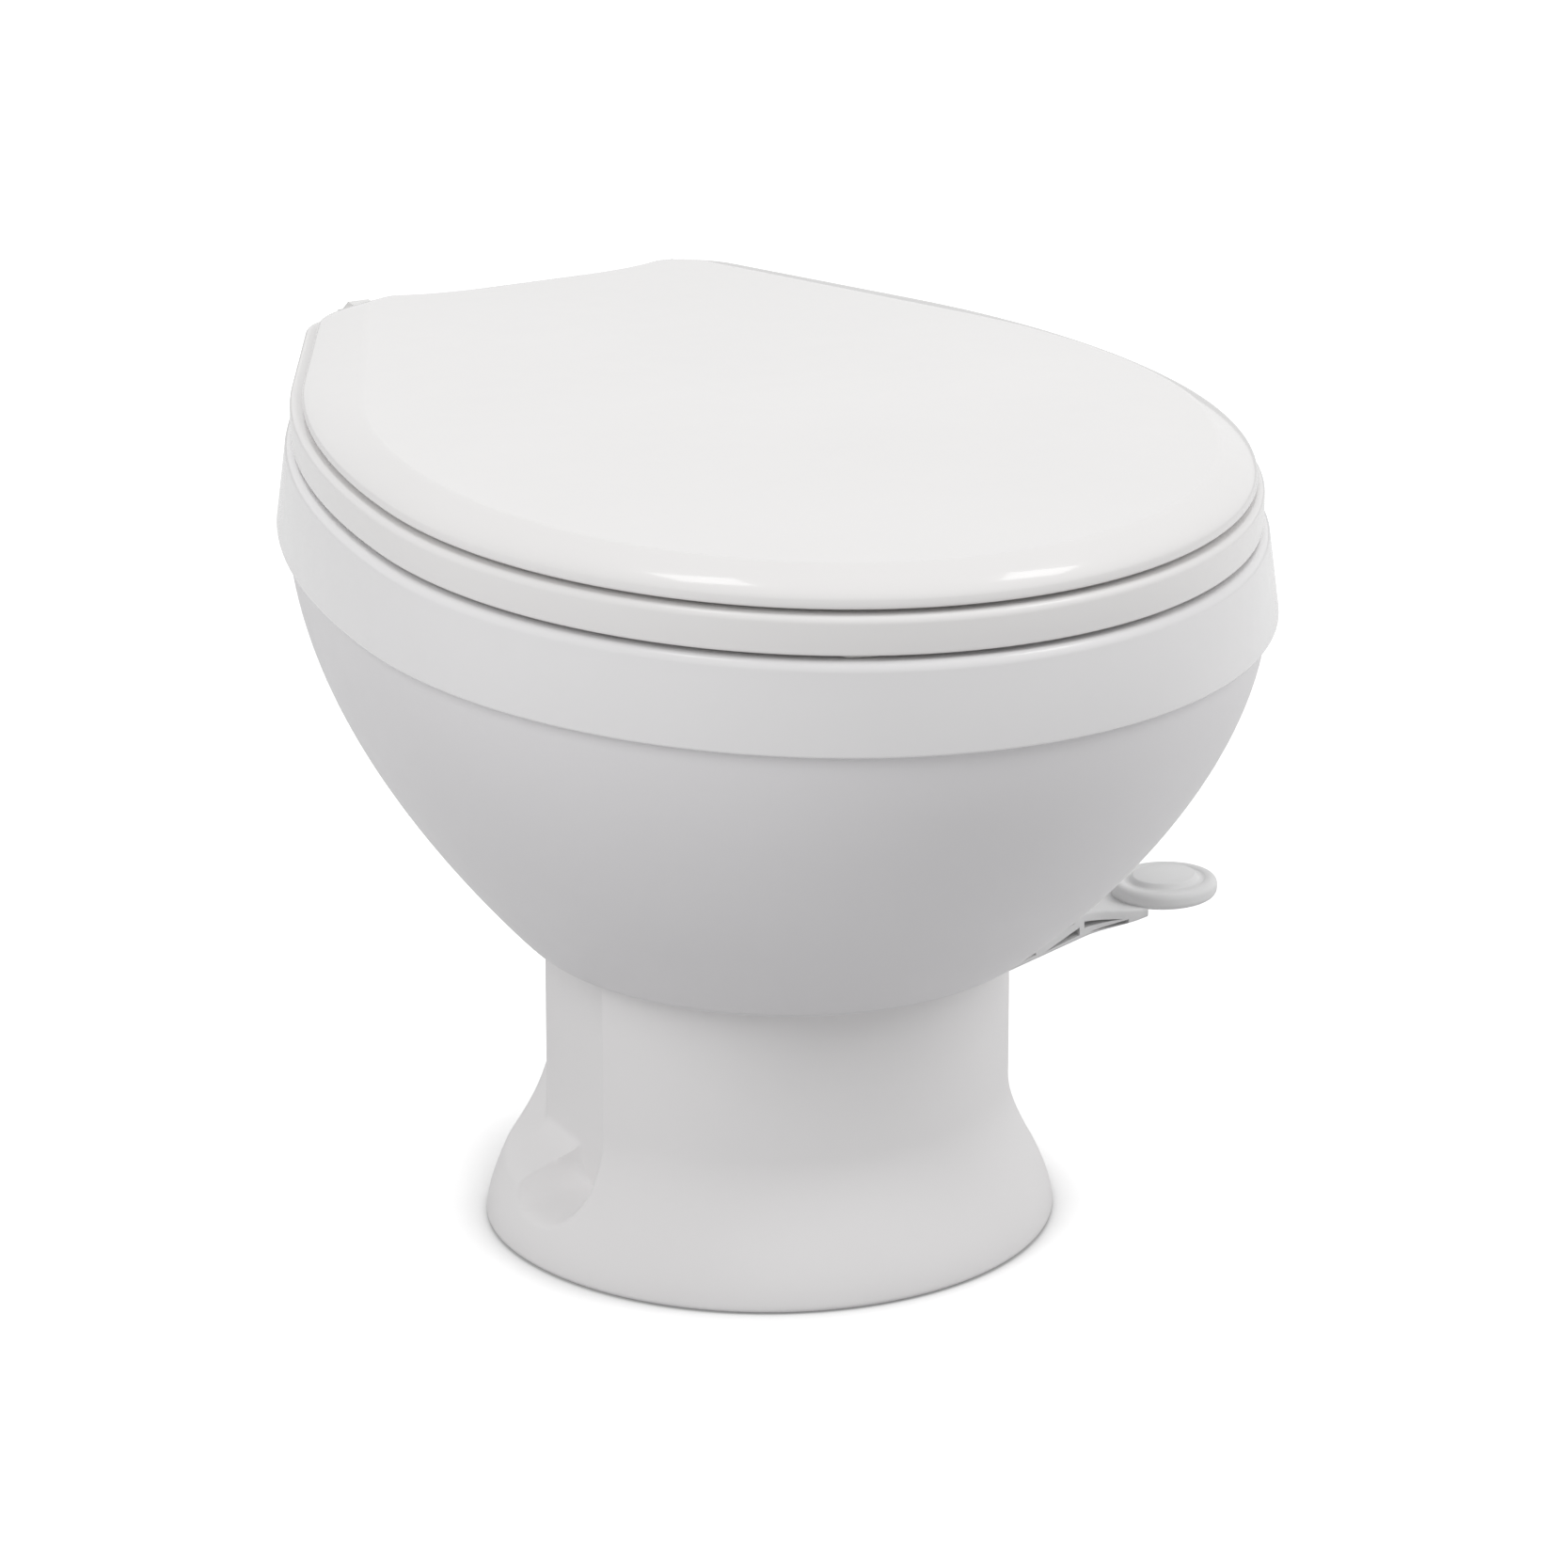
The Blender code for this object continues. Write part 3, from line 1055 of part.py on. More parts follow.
def cut_leaf_seats(piece, label, low_z, hand):
    """Shallow seats in the underside for the hinge leaves, and holes for their screws."""
    for side in (-1, 1):
        low, high = leaf_span(side, hand)
        middle = (low + high) / 2
        half = LEAF_WIDTH / 2 + LEAF_FIT
        cut(piece, block(f"{label}_leaf_seat_{side}",
                         (middle - half, leaf_rear_y(hand) - LEAF_LENGTH - LEAF_FIT, low_z - OVERRUN),
                         (middle + half, RIM_PLAN.rear_y + OVERRUN, low_z + LEAF_THICKNESS + LEAF_FIT)))
    holes = [turned_solid([(SCREW_RADIUS + BORE_GAP, low_z - OVERRUN),
                           (SCREW_RADIUS + BORE_GAP, low_z + SCREW_LENGTH + GAP)], place, steps=10)
             for side in (-1, 1) for place in leaf_screw_places(side, hand)]
    cut(piece, group(f"{label}_screw_holes", holes, None))


def make_leaf(name, side, hand):
    """A hinge leaf: a flat plate let into the board, bent round to its knuckle."""
    low, high = leaf_span(side, hand)
    low_z = SEAT_LOW_Z if hand < 0 else LID_LOW_Z
    plate_low, plate_high = low_z + GAP, low_z + LEAF_THICKNESS
    rear = leaf_rear_y(hand)
    middle = (low + high) / 2
    piece = block(name, (middle - LEAF_WIDTH / 2, rear - LEAF_LENGTH, plate_low),
                  (middle + LEAF_WIDTH / 2, rear, plate_high), HINGE_WHITE)
    join(piece, rod(f"{name}_knuckle", KNUCKLE_RADIUS, low, high, None, "X",
                    Vector((0.0, HINGE_AXIS_Y, HINGE_AXIS_Z)), steps=24))
    if hand < 0:
        web = [(rear - OVERRUN, plate_low), (HINGE_AXIS_Y, HINGE_AXIS_Z - KNUCKLE_RADIUS + GAP),
               (HINGE_AXIS_Y, HINGE_AXIS_Z), (rear + LEAF_THICKNESS, plate_high), (rear - OVERRUN, plate_high)]
    else:
        clear_y = RIM_PLAN.rear_y - SEAT_INSET + 2 * GAP
        web = [(rear - OVERRUN, plate_low), (clear_y, plate_low),
               (HINGE_AXIS_Y - KNUCKLE_RADIUS / 2, HINGE_AXIS_Z),
               (HINGE_AXIS_Y, HINGE_AXIS_Z + KNUCKLE_RADIUS - GAP),
               (clear_y + LEAF_THICKNESS / 2, plate_high), (rear - OVERRUN, plate_high)]
    join(piece, prism(f"{name}_web", web, "X", low + GAP, high - GAP))
    cut(piece, rod(f"{name}_bore", HINGE_PIN_RADIUS + BORE_GAP, low - OVERRUN, high + OVERRUN, None, "X",
                   Vector((0.0, HINGE_AXIS_Y, HINGE_AXIS_Z)), steps=20))
    holes = [turned_solid([(SCREW_RADIUS + BORE_GAP, plate_low - OVERRUN),
                           (SCREW_RADIUS + BORE_GAP, plate_high + OVERRUN)], place, steps=10)
             for place in leaf_screw_places(side, hand)]
    cut(piece, group(f"{name}_holes", holes, None))
    return piece


def make_hinges():
    """Posts, pins and bolts on the deck, and the leaves and screws that move with each board."""
    axis = (HINGE_AXIS_Y, HINGE_AXIS_Z)
    base_z = RIM_TOP_Z + GAP
    front = HINGE_AXIS_Y - POST_FRONT
    for side in (-1, 1):
        outline_points = ([(front, base_z), (HINGE_AXIS_Y + POST_REAR, base_z)]
                          + arc(axis, POST_RADIUS, -math.pi / 6, math.pi, 12)
                          + [(front, base_z + LEAF_THICKNESS)])
        low, high = side * HINGE_X - POST_WIDTH / 2, side * HINGE_X + POST_WIDTH / 2
        post = prism(f"hinge_post_{SIDE_NAMES[side]}", outline_points, "X", low, high, HINGE_WHITE)
        cut(post, rod(f"post_bore_{side}", HINGE_PIN_RADIUS + BORE_GAP, low - OVERRUN, high + OVERRUN,
                      None, "X", Vector((0.0, HINGE_AXIS_Y, HINGE_AXIS_Z)), steps=20))
        bolt_place = Vector((side * HINGE_X, HINGE_AXIS_Y - HINGE_BOLT_SETBACK, 0.0))
        cut(post, rod(f"post_bolt_hole_{side}", HINGE_BOLT_RADIUS + BORE_GAP, base_z - OVERRUN,
                      base_z + HINGE_BOLT_REACH + GAP, None, centre=bolt_place))
        reach = POST_WIDTH / 2 + KNUCKLE_GAP + KNUCKLE_WIDTH + KNUCKLE_GAP
        rod(f"hinge_pin_{SIDE_NAMES[side]}", HINGE_PIN_RADIUS, side * HINGE_X - reach, side * HINGE_X + reach,
            STEEL, "X", Vector((0.0, HINGE_AXIS_Y, HINGE_AXIS_Z)), steps=20)
    head_top = RIM_CEILING_Z - GAP
    bolt = [(HINGE_BOLT_HEAD, head_top - HINGE_BOLT_HEAD_HEIGHT), (HINGE_BOLT_HEAD, head_top),
            (HINGE_BOLT_RADIUS, head_top), (HINGE_BOLT_RADIUS, base_z + HINGE_BOLT_REACH)]
    for side in (-1, 1):
        place = Vector((side * HINGE_X, HINGE_AXIS_Y - HINGE_BOLT_SETBACK, 0.0))
        turned(f"hinge_bolt_{SIDE_NAMES[side]}", bolt, STEEL, centre=place, steps=12)
    moving = {"seat": [], "lid": []}
    for label, hand, low_z in (("seat", -1, SEAT_LOW_Z), ("lid", 1, LID_LOW_Z)):
        screw = [(SCREW_HEAD_RADIUS, low_z - SCREW_HEAD_HEIGHT), (SCREW_HEAD_RADIUS, low_z),
                 (SCREW_RADIUS, low_z), (SCREW_RADIUS, low_z + SCREW_LENGTH)]
        for side in (-1, 1):
            moving[label].append(make_leaf(f"{label}_leaf_{SIDE_NAMES[side]}", side, hand))
            for place, end in zip(leaf_screw_places(side, hand), ("rear", "front")):
                moving[label].append(turned(f"{label}_screw_{SIDE_NAMES[side]}_{end}", screw, STEEL,
                                            centre=place, steps=10))
    return moving


def foot_ring(x, y, z):
    """A bumper's outline with round ends, lying along the rim."""
    radius = BUMPER_WIDTH / 2
    along = Vector((-y, x, 0.0)).normalized()
    across = Vector((-along.y, along.x, 0.0))
    ring = []
    for end in (-1, 1):
        for i in range(7):
            angle = math.pi * (i / 6 - 1 / 2)
            spoke = (along * math.cos(angle) + across * math.sin(angle)) * end
            ring.append(Vector((x, y, z)) + along * (BUMPER_LENGTH / 2 - radius) * end + spoke * radius)
    return ring


def make_bumpers():
    """Soft feet under the seat and the lid, each a fit clear of its board and of what it rests on."""
    moving = {"seat": [], "lid": []}
    for places, end in zip((SEAT_BUMPERS[0:1], SEAT_BUMPERS[1:2]), ("rear", "front")):
        for x, y in both_sides(places):
            rings = [foot_ring(x, y, RIM_TOP_Z + GAP), foot_ring(x, y, SEAT_LOW_Z - GAP)]
            hand = 1 if x > 0 else -1
            moving["seat"].append(loft(f"seat_bumper_{SIDE_NAMES[hand]}_{end}", rings, BUMPER_WHITE))
    for places, end in zip((LID_BUMPERS[0:1], LID_BUMPERS[1:2]), ("front", "rear")):
        for x, y in both_sides(places):
            hand = 1 if x > 0 else -1
            moving["lid"].append(rod(f"lid_bumper_{SIDE_NAMES[hand]}_{end}", LID_BUMPER_RADIUS,
                                     SEAT_TOP_Z + GAP, LID_LOW_Z - GAP, BUMPER_WHITE,
                                     centre=Vector((x, y, 0.0))))
    return moving


def smooth_path(points, steps):
    """A smooth curve through a few points."""
    path = []
    for i in range(len(points) - 1):
        before = points[max(i - 1, 0)]
        a, b = points[i], points[i + 1]
        after = points[min(i + 2, len(points) - 1)]
        for k in range(steps):
            t = k / steps
            path.append(((a * 2) + (b - before) * t + (before * 2 - a * 5 + b * 4 - after) * t ** 2
                         + (a * 3 - before - b * 3 + after) * t ** 3) / 2)
    return path + [points[-1]]


def tube(name, points, radius, finish, steps=4):
    """A tube along a smooth path, with a straight stretch at each end."""
    path = [points[0]] + smooth_path(points[1:-1], steps) + [points[-1]]
    rings = []
    side = Vector((1.0, 0.0, 0.0))
    for i, point in enumerate(path):
        if i == 0:
            ahead = (points[1] - points[0]).normalized()
        elif i == len(path) - 1:
            ahead = (points[-1] - points[-2]).normalized()
        else:
            ahead = (path[i + 1] - path[i - 1]).normalized()
        side = (side - ahead * side.dot(ahead)).normalized()
        other = ahead.cross(side)
        rings.append([point + side * radius * math.cos(2 * math.pi * k / HOSE_SIDES)
                      + other * radius * math.sin(2 * math.pi * k / HOSE_SIDES)
                      for k in range(HOSE_SIDES)])
    return loft(name, rings, finish)


def make_supply():
    """Water valve, hose, vacuum breaker and the elbow into the basin's channel."""
    valve_top = VALVE_LOW_Z + VALVE_HEIGHT
    profile = [(VALVE_RADIUS, VALVE_LOW_Z), (VALVE_RADIUS, valve_top - HOSE_RADIUS),
               (HOSE_RADIUS, valve_top - HOSE_RADIUS), (HOSE_RADIUS, valve_top)]
    valve = turned("water_valve", profile, VALVE_GREY, centre=Vector((VALVE_X, VALVE_Y, 0.0)), steps=20)
    inlet_z = VALVE_LOW_Z + VALVE_HEIGHT / 3
    inlet_end = VALVE_Y + VALVE_RADIUS + INLET_LENGTH
    join(valve, rod("valve_inlet", INLET_RADIUS, VALVE_Y, inlet_end, None, "Y",
                    Vector((VALVE_X, 0.0, inlet_z)), steps=20))
    cut(valve, rod("valve_inlet_bore", INLET_BORE, inlet_end - INLET_DEPTH, inlet_end + OVERRUN, None, "Y",
                   Vector((VALVE_X, 0.0, inlet_z)), steps=20))
    hose_start = valve_top + GAP
    hose_end = BREAKER_LOW_Z - GAP
    over_foot = SHELL_LOW_Z + 2 * HOSE_RADIUS
    route = [Vector((VALVE_X, VALVE_Y, hose_start)), Vector((VALVE_X, VALVE_Y, hose_start + 2 * HOSE_RADIUS)),
             Vector((VALVE_X, VALVE_Y + HOSE_RADIUS, over_foot)),
             Vector((VALVE_X / 2, BREAKER_Y - 5 * HOSE_RADIUS, (over_foot + hose_end) / 2 - HOSE_RADIUS)),
             Vector((0.0, BREAKER_Y, hose_end - 2 * HOSE_RADIUS)), Vector((0.0, BREAKER_Y, hose_end))]
    tube("supply_hose", route, HOSE_RADIUS, HOSE_GREY)
    top = BREAKER_LOW_Z + BREAKER_HEIGHT
    profile = [(BREAKER_RADIUS, BREAKER_LOW_Z), (BREAKER_RADIUS, top - BREAKER_CAP_HEIGHT),
               (BREAKER_CAP_RADIUS, top - BREAKER_CAP_HEIGHT), (BREAKER_CAP_RADIUS, top)]
    turned("vacuum_breaker", profile, VALVE_GREY, centre=Vector((0.0, BREAKER_Y, 0.0)), steps=24)
    port_z = RIM_CEILING_Z - PORT_DROP
    port_y = basin_rear_y() + GAP
    bend = 2 * ELBOW_RADIUS
    route = [Vector((0.0, BREAKER_Y, top + GAP)), Vector((0.0, BREAKER_Y, top + bend)),
             Vector((0.0, BREAKER_Y - bend, port_z)), Vector((0.0, port_y + bend, port_z)),
             Vector((0.0, port_y, port_z))]
    tube("flush_elbow", route, ELBOW_RADIUS, VALVE_GREY)


def carry(name, place, pieces, parent=None):
    """Hang moving pieces on an empty that stands on their joint's axis."""
    joint = bpy.data.objects.new(name, None)
    bpy.context.scene.collection.objects.link(joint)
    joint.location = place - (parent["at"] if parent else Vector())
    if parent:
        joint.parent = parent["empty"]
    for piece in pieces:
        piece.parent = joint
        piece.location = -place
    return {"empty": joint, "at": place}


def footprint_middle():
    """The middle of the whole outline from above, measured from the drain's axis."""
    right, left = PAD_CENTRE.x + PAD_HALF_LENGTH, -RIM_PLAN.half_width
    rear, front = RIM_PLAN.rear_y + RIM_PLAN.bulge, RIM_PLAN.centre_y - RIM_PLAN.front
    return Vector(((right + left) / 2, (rear + front) / 2, 0.0))


def main():
    for old in list(bpy.data.objects):
        bpy.data.objects.remove(old, do_unlink=True)
    make_pedestal()
    make_bowl_shell()
    make_rim()
    make_basin()
    make_housing()
    make_floor_seal()
    make_outlet_seal()
    make_clamp()
    make_bracket()
    make_spring()
    make_supply()
    turning = [make_ball(), make_pinion()] + make_shafts()
    pedal = make_pedal()
    boards = {"seat": [make_seat()], "lid": [make_lid()]}
    for made in (make_hinges(), make_bumpers()):
        for board, pieces in made.items():
            boards[board].extend(pieces)
    carry("ball_axis", Vector((0.0, 0.0, BALL_AXIS_Z)), turning)
    carry("pedal_axis", Vector((PIVOT_X, 0.0, BALL_AXIS_Z)), [pedal])
    hinge = Vector((0.0, HINGE_AXIS_Y, HINGE_AXIS_Z))
    seat_axis = carry("seat_axis", hinge, boards["seat"])
    carry("lid_axis", hinge, boards["lid"], seat_axis)
    for placed in bpy.data.objects:
        if placed.parent is None:
            placed.location -= footprint_middle()


main()
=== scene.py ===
"""Studio scene of the low pedal-flush toilet: smooth shells, finishes, light and camera.

The shells are worked out about the drain's axis, as in the CAD source, and then moved
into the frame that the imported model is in. Metres, +Z up, the front towards -Y.
"""
import math
from collections import namedtuple

import bmesh
import bpy
from mathutils import Matrix, Vector


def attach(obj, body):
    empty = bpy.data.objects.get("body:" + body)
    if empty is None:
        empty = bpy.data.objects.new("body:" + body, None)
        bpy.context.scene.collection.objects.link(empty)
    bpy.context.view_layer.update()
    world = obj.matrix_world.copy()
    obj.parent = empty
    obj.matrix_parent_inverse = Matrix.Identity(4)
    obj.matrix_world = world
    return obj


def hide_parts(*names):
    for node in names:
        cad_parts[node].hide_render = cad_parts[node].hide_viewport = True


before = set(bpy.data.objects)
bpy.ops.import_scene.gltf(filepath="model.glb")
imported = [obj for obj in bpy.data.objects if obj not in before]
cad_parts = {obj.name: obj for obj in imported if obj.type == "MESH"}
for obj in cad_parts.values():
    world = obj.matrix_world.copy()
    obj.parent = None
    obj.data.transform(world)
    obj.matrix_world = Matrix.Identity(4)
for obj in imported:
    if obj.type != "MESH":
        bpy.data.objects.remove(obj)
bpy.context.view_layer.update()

Plan = namedtuple("Plan", "half_width front back centre_y taper rear_y corner bulge")

# Sizes that the shells share with the CAD source
GAP = 0.0003
OVERRUN = 0.004
DRAIN_SHIFT = Vector((-0.0306, -0.01695, 0.0))
NECK_TOP_Z, RIM_LOW_Z, RIM_TOP_Z = 0.1272, 0.2745, 0.3105
SEAT_LOW_Z, SEAT_TOP_Z = 0.3125, 0.3278
LID_LOW_Z, LID_TOP_Z = 0.3298, 0.3433
RIM_PLAN = Plan(0.1855, 0.2120, 0.3000, -0.0253, math.radians(27.0), 0.2512, 0.0280, 0.0200)
RIM_OPENING = Plan(0.1120, 0.1580, 0.1580, -0.0300, math.radians(24.0), 0.1000, 0.0500, 0.0)
SHELL_NECK = Plan(0.1043, 0.1093, 0.1093, -0.0112, math.radians(21.6), 0.1200, 0.0240, 0.0)
NECK_PLAN = Plan(0.0990, 0.0990, 0.0990, 0.0, math.radians(25.0), 0.1150, 0.0250, 0.0)
NECK_CAVITY = Plan(0.0800, 0.0930, 0.0930, 0.0, math.radians(22.0), 0.1080, 0.0200, 0.0)
SEAT_OPENING = Plan(0.1040, 0.1500, 0.1500, -0.0300, math.radians(24.0), 0.0850, 0.0480, 0.0)
LEAST_CORNER = 0.0060
COVER_BULGE = -0.0070

# How finely the shells are drawn. An outline has steps for its front, side, corner and rear
BOARD_STEPS = (64, 6, 12, 12)
NECK_STEPS = (200, 18, 14, 10)
FOOT_BEND, PLINTH_FOOT_BEND, PAD_FOOT_BEND, EDGE_BEND, RIM_EDGE_BEND = 4, 5, 6, 8, 10
ROD_STEPS, SCREW_BORE_STEPS, HUB_STEPS, BLOCK_ROUND_STEPS = 32, 20, 48, 5
BULGE_POWER, CREASE_ANGLE = 4, math.radians(38.0)


def outline(plan, z, steps=BOARD_STEPS):
    """A short ellipse in front, a long one behind, tapering sides, corners, a bowed rear edge."""
    front_steps, side_steps, corner_steps, rear_steps = steps
    sine, cosine = math.sin(plan.taper), math.cos(plan.taper)
    leave = math.pi - math.atan2(plan.half_width, plan.back * math.tan(plan.taper))
    half = []
    for i in range(front_steps + 1):
        t = leave * i / front_steps
        depth = plan.front if t < math.pi / 2 else plan.back
        half.append((plan.half_width * math.sin(t), plan.centre_y - depth * math.cos(t)))
    x, y = half[-1]
    turn = math.pi / 2 - plan.taper
    length = (plan.rear_y - y) / cosine - plan.corner * math.tan(turn / 2)
    for i in range(1, side_steps + 1):
        run = length * i / side_steps
        half.append((x - sine * run, y + cosine * run))
    x, y = half[-1]
    middle_x, middle_y = x - plan.corner * cosine, y - plan.corner * sine
    for i in range(1, corner_steps + 1):
        angle = plan.taper + turn * i / corner_steps
        half.append((middle_x + plan.corner * math.cos(angle),
                     middle_y + plan.corner * math.sin(angle)))
    edge_x = half[-1][0]
    for i in range(1, rear_steps + 1):
        x = edge_x * (1 - i / rear_steps)
        half.append((x, plan.rear_y + plan.bulge * (1 - (x / edge_x) ** BULGE_POWER)))
    other = [(-x, y) for x, y in half[-2:0:-1]]
    return [Vector((x, y, z)) for x, y in half + other]


def grown(plan, amount):
    """A plan moved outwards by an amount, or inwards where that is below zero."""
    return plan._replace(
        half_width=plan.half_width + amount, front=plan.front + amount,
        back=plan.back + amount, rear_y=plan.rear_y + amount,
        corner=max(plan.corner + amount, LEAST_CORNER))


def blended(low, high, side_share, rear_share):
    """A plan between two others, with one share for the sides and one for the rear."""
    rear = {"back", "taper", "rear_y", "corner", "bulge"}
    return Plan(*(a + (b - a) * (rear_share if field in rear else side_share)
                  for field, a, b in zip(Plan._fields, low, high)))


def swell(share, power, root):
    """A share from 0 to 1 that rises at once and then levels off."""
    return (1 - (1 - share) ** power) ** (1 / root)


def smooth(share):
    """A share from 0 to 1 with an easy start and end."""
    share = min(max(share, 0.0), 1.0)
    return share * share * (3 - 2 * share)


def bend(plan, offset, z, radius, start, end, steps):
    """Rings of a rounded edge. Angles are in degrees, 0 outwards and 90 upwards."""
    rings = []
    for i in range(steps + 1):
        angle = math.radians(start + (end - start) * i / steps)
        rings.append((plan, offset + radius * math.cos(angle), z + radius * math.sin(angle)))
    return rings


def add_mesh(name, vertices, faces):
    """A mesh in the scene with its faces turned outwards."""
    mesh = bpy.data.meshes.new(name)
    mesh.from_pydata([tuple(v) for v in vertices], [], faces)
    shape = bmesh.new()
    shape.from_mesh(mesh)
    bmesh.ops.recalc_face_normals(shape, faces=shape.faces)
    shape.to_mesh(mesh)
    shape.free()
    piece = bpy.data.objects.new(name, mesh)
    bpy.context.scene.collection.objects.link(piece)
    return piece


def loft(name, rings, closed=False):
    """Quads between neighbouring rings, with end caps unless the section is closed."""
    count, size = len(rings), len(rings[0])
    faces = []
    for i in range(count if closed else count - 1):
        a, b = i * size, ((i + 1) % count) * size
        faces += [(a + k, a + (k + 1) % size, b + (k + 1) % size, b + k) for k in range(size)]
    if not closed:
        faces += [tuple(range(size)), tuple(range((count - 1) * size, count * size))]
    return add_mesh(name, [point for ring in rings for point in ring], faces)


def section_loft(name, section):
    """A closed shell from rings given as a plan, how far it is grown, and a height."""
    return loft(name, [outline(grown(plan, offset), z) for plan, offset, z in section], True)


def rod(radius, low, high, axis, centre, steps=ROD_STEPS):
    """A cylinder along an axis, from low to high on it."""
    place = {"X": lambda a, b, h: (h, a, b), "Y": lambda a, b, h: (a, h, b),
             "Z": lambda a, b, h: (a, b, h)}[axis]
    rings = [[Vector(place(radius * math.cos(2 * math.pi * k / steps),
                           radius * math.sin(2 * math.pi * k / steps), h)) + Vector(centre)
              for k in range(steps)] for h in (low, high)]
    return loft("tool", rings)


def block(low, high, round_edges=0.0):
    """A box between two corners, its edges rounded where a radius is given."""
    (x0, y0, z0), (x1, y1, z1) = low, high
    rings = [[Vector((x, y, z)) for x, y in ((x0, y0), (x1, y0), (x1, y1), (x0, y1))]
             for z in (z0, z1)]
    piece = loft("tool", rings)
    if round_edges:
        bevel = piece.modifiers.new("rounded", "BEVEL")
        bevel.width = round_edges
        bevel.segments = BLOCK_ROUND_STEPS
    return piece


def prism(points, low, high):
    """Extrude an outline of (x, z) points along Y."""
    return loft("tool", [[Vector((x, y, z)) for x, z in points] for y in (low, high)])


def settle(piece):
    """Make a piece's modifiers part of its mesh."""
    graph = bpy.context.evaluated_depsgraph_get()
    graph.update()
    solid = bpy.data.meshes.new_from_object(piece.evaluated_get(graph))
    old = piece.data
    piece.modifiers.clear()
    piece.data = solid
    bpy.data.meshes.remove(old)


def combine(piece, tools, operation="DIFFERENCE"):
    """Cut the tools from a piece, or join them to it, and throw them away."""
    for tool in tools:
        modifier = piece.modifiers.new("combine", "BOOLEAN")
        modifier.operation = operation
        modifier.solver = "EXACT"
        modifier.object = tool
    settle(piece)
    for tool in tools:
        bpy.data.objects.remove(tool, do_unlink=True)


def dress(piece, body, slot, finish, *nodes):
    """Place a finished shell on its body, in place of its CAD node."""
    piece.data.transform(Matrix.Translation(DRAIN_SHIFT))
    piece.data.materials.clear()
    piece.data.materials.append(finish)
    piece.data.shade_smooth()
    piece.data.set_sharp_from_angle(angle=CREASE_ANGLE)
    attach(piece, body)
    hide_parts(*nodes)


# Finishes

NOISE_LOW, NOISE_HIGH, COAT_ROUGHNESS = 0.3, 0.7, 0.05
CLOUD_DETAIL, ROUGH_DETAIL, SKIN_DETAIL, WAVE_DETAIL = 3.0, 5.0, 2.0, 1.0
WELD_DISTANCE, ROUND_ANGLE, ROUND_WIDTH, ROUND_STEPS = 0.00001, math.radians(40.0), 0.0003, 2


def add_node(tree, kind, inputs=None, **settings):
    node = tree.nodes.new(kind)
    for key, value in settings.items():
        setattr(node, key, value)
    for key, value in (inputs or {}).items():
        node.inputs[key].default_value = value
    return node


def noise(tree, place, scale, detail):
    """The value of a noise with a scale in patches to the metre."""
    node = add_node(tree, "ShaderNodeTexNoise", {"Scale": scale, "Detail": detail})
    tree.links.new(place, node.inputs["Vector"])
    return node.outputs["Fac"]


def spread_between(tree, value, low, high):
    """Stretch the middle of a noise over a range."""
    node = add_node(tree, "ShaderNodeMapRange",
                    {"From Min": NOISE_LOW, "From Max": NOISE_HIGH,
                     "To Min": low, "To Max": high})
    tree.links.new(value, node.inputs["Value"])
    return node.outputs["Result"]


def moulded(name, colour, roughness, shade=0.02, patch_scale=7.0, rough_spread=0.03,
            rough_scale=55.0, bump_scale=420.0, bump=0.05, bump_depth=0.0002, metallic=0.0,
            second_bump=None, coat=0.0, specular=0.5):
    """A moulded or cast surface: faint cloudiness, uneven gloss and a fine skin."""
    finish = bpy.data.materials.new(name)
    finish.use_nodes = True
    tree = finish.node_tree
    shader = tree.nodes["Principled BSDF"]
    place = add_node(tree, "ShaderNodeTexCoord").outputs["Object"]
    cloud = spread_between(tree, noise(tree, place, patch_scale, CLOUD_DETAIL), 0.0, 1.0)
    mix = add_node(tree, "ShaderNodeMix", data_type="RGBA")
    mix.inputs["A"].default_value = (*(c * (1 - shade) for c in colour), 1.0)
    mix.inputs["B"].default_value = (*(min(c * (1 + shade), 1.0) for c in colour), 1.0)
    tree.links.new(cloud, mix.inputs["Factor"])
    tree.links.new(mix.outputs["Result"], shader.inputs["Base Color"])
    rough = spread_between(tree, noise(tree, place, rough_scale, ROUGH_DETAIL),
                           roughness - rough_spread, roughness + rough_spread)
    tree.links.new(rough, shader.inputs["Roughness"])
    relief = add_node(tree, "ShaderNodeBump", {"Strength": bump, "Distance": bump_depth})
    tree.links.new(noise(tree, place, bump_scale, SKIN_DETAIL), relief.inputs["Height"])
    if second_bump:
        scale, strength, depth = second_bump
        waves = add_node(tree, "ShaderNodeBump", {"Strength": strength, "Distance": depth})
        tree.links.new(noise(tree, place, scale, WAVE_DETAIL), waves.inputs["Height"])
        tree.links.new(waves.outputs["Normal"], relief.inputs["Normal"])
    tree.links.new(relief.outputs["Normal"], shader.inputs["Normal"])
    shader.inputs["Metallic"].default_value = metallic
    shader.inputs["Coat Weight"].default_value = coat
    shader.inputs["Coat Roughness"].default_value = COAT_ROUGHNESS
    shader.inputs["Specular IOR Level"].default_value = specular
    return finish


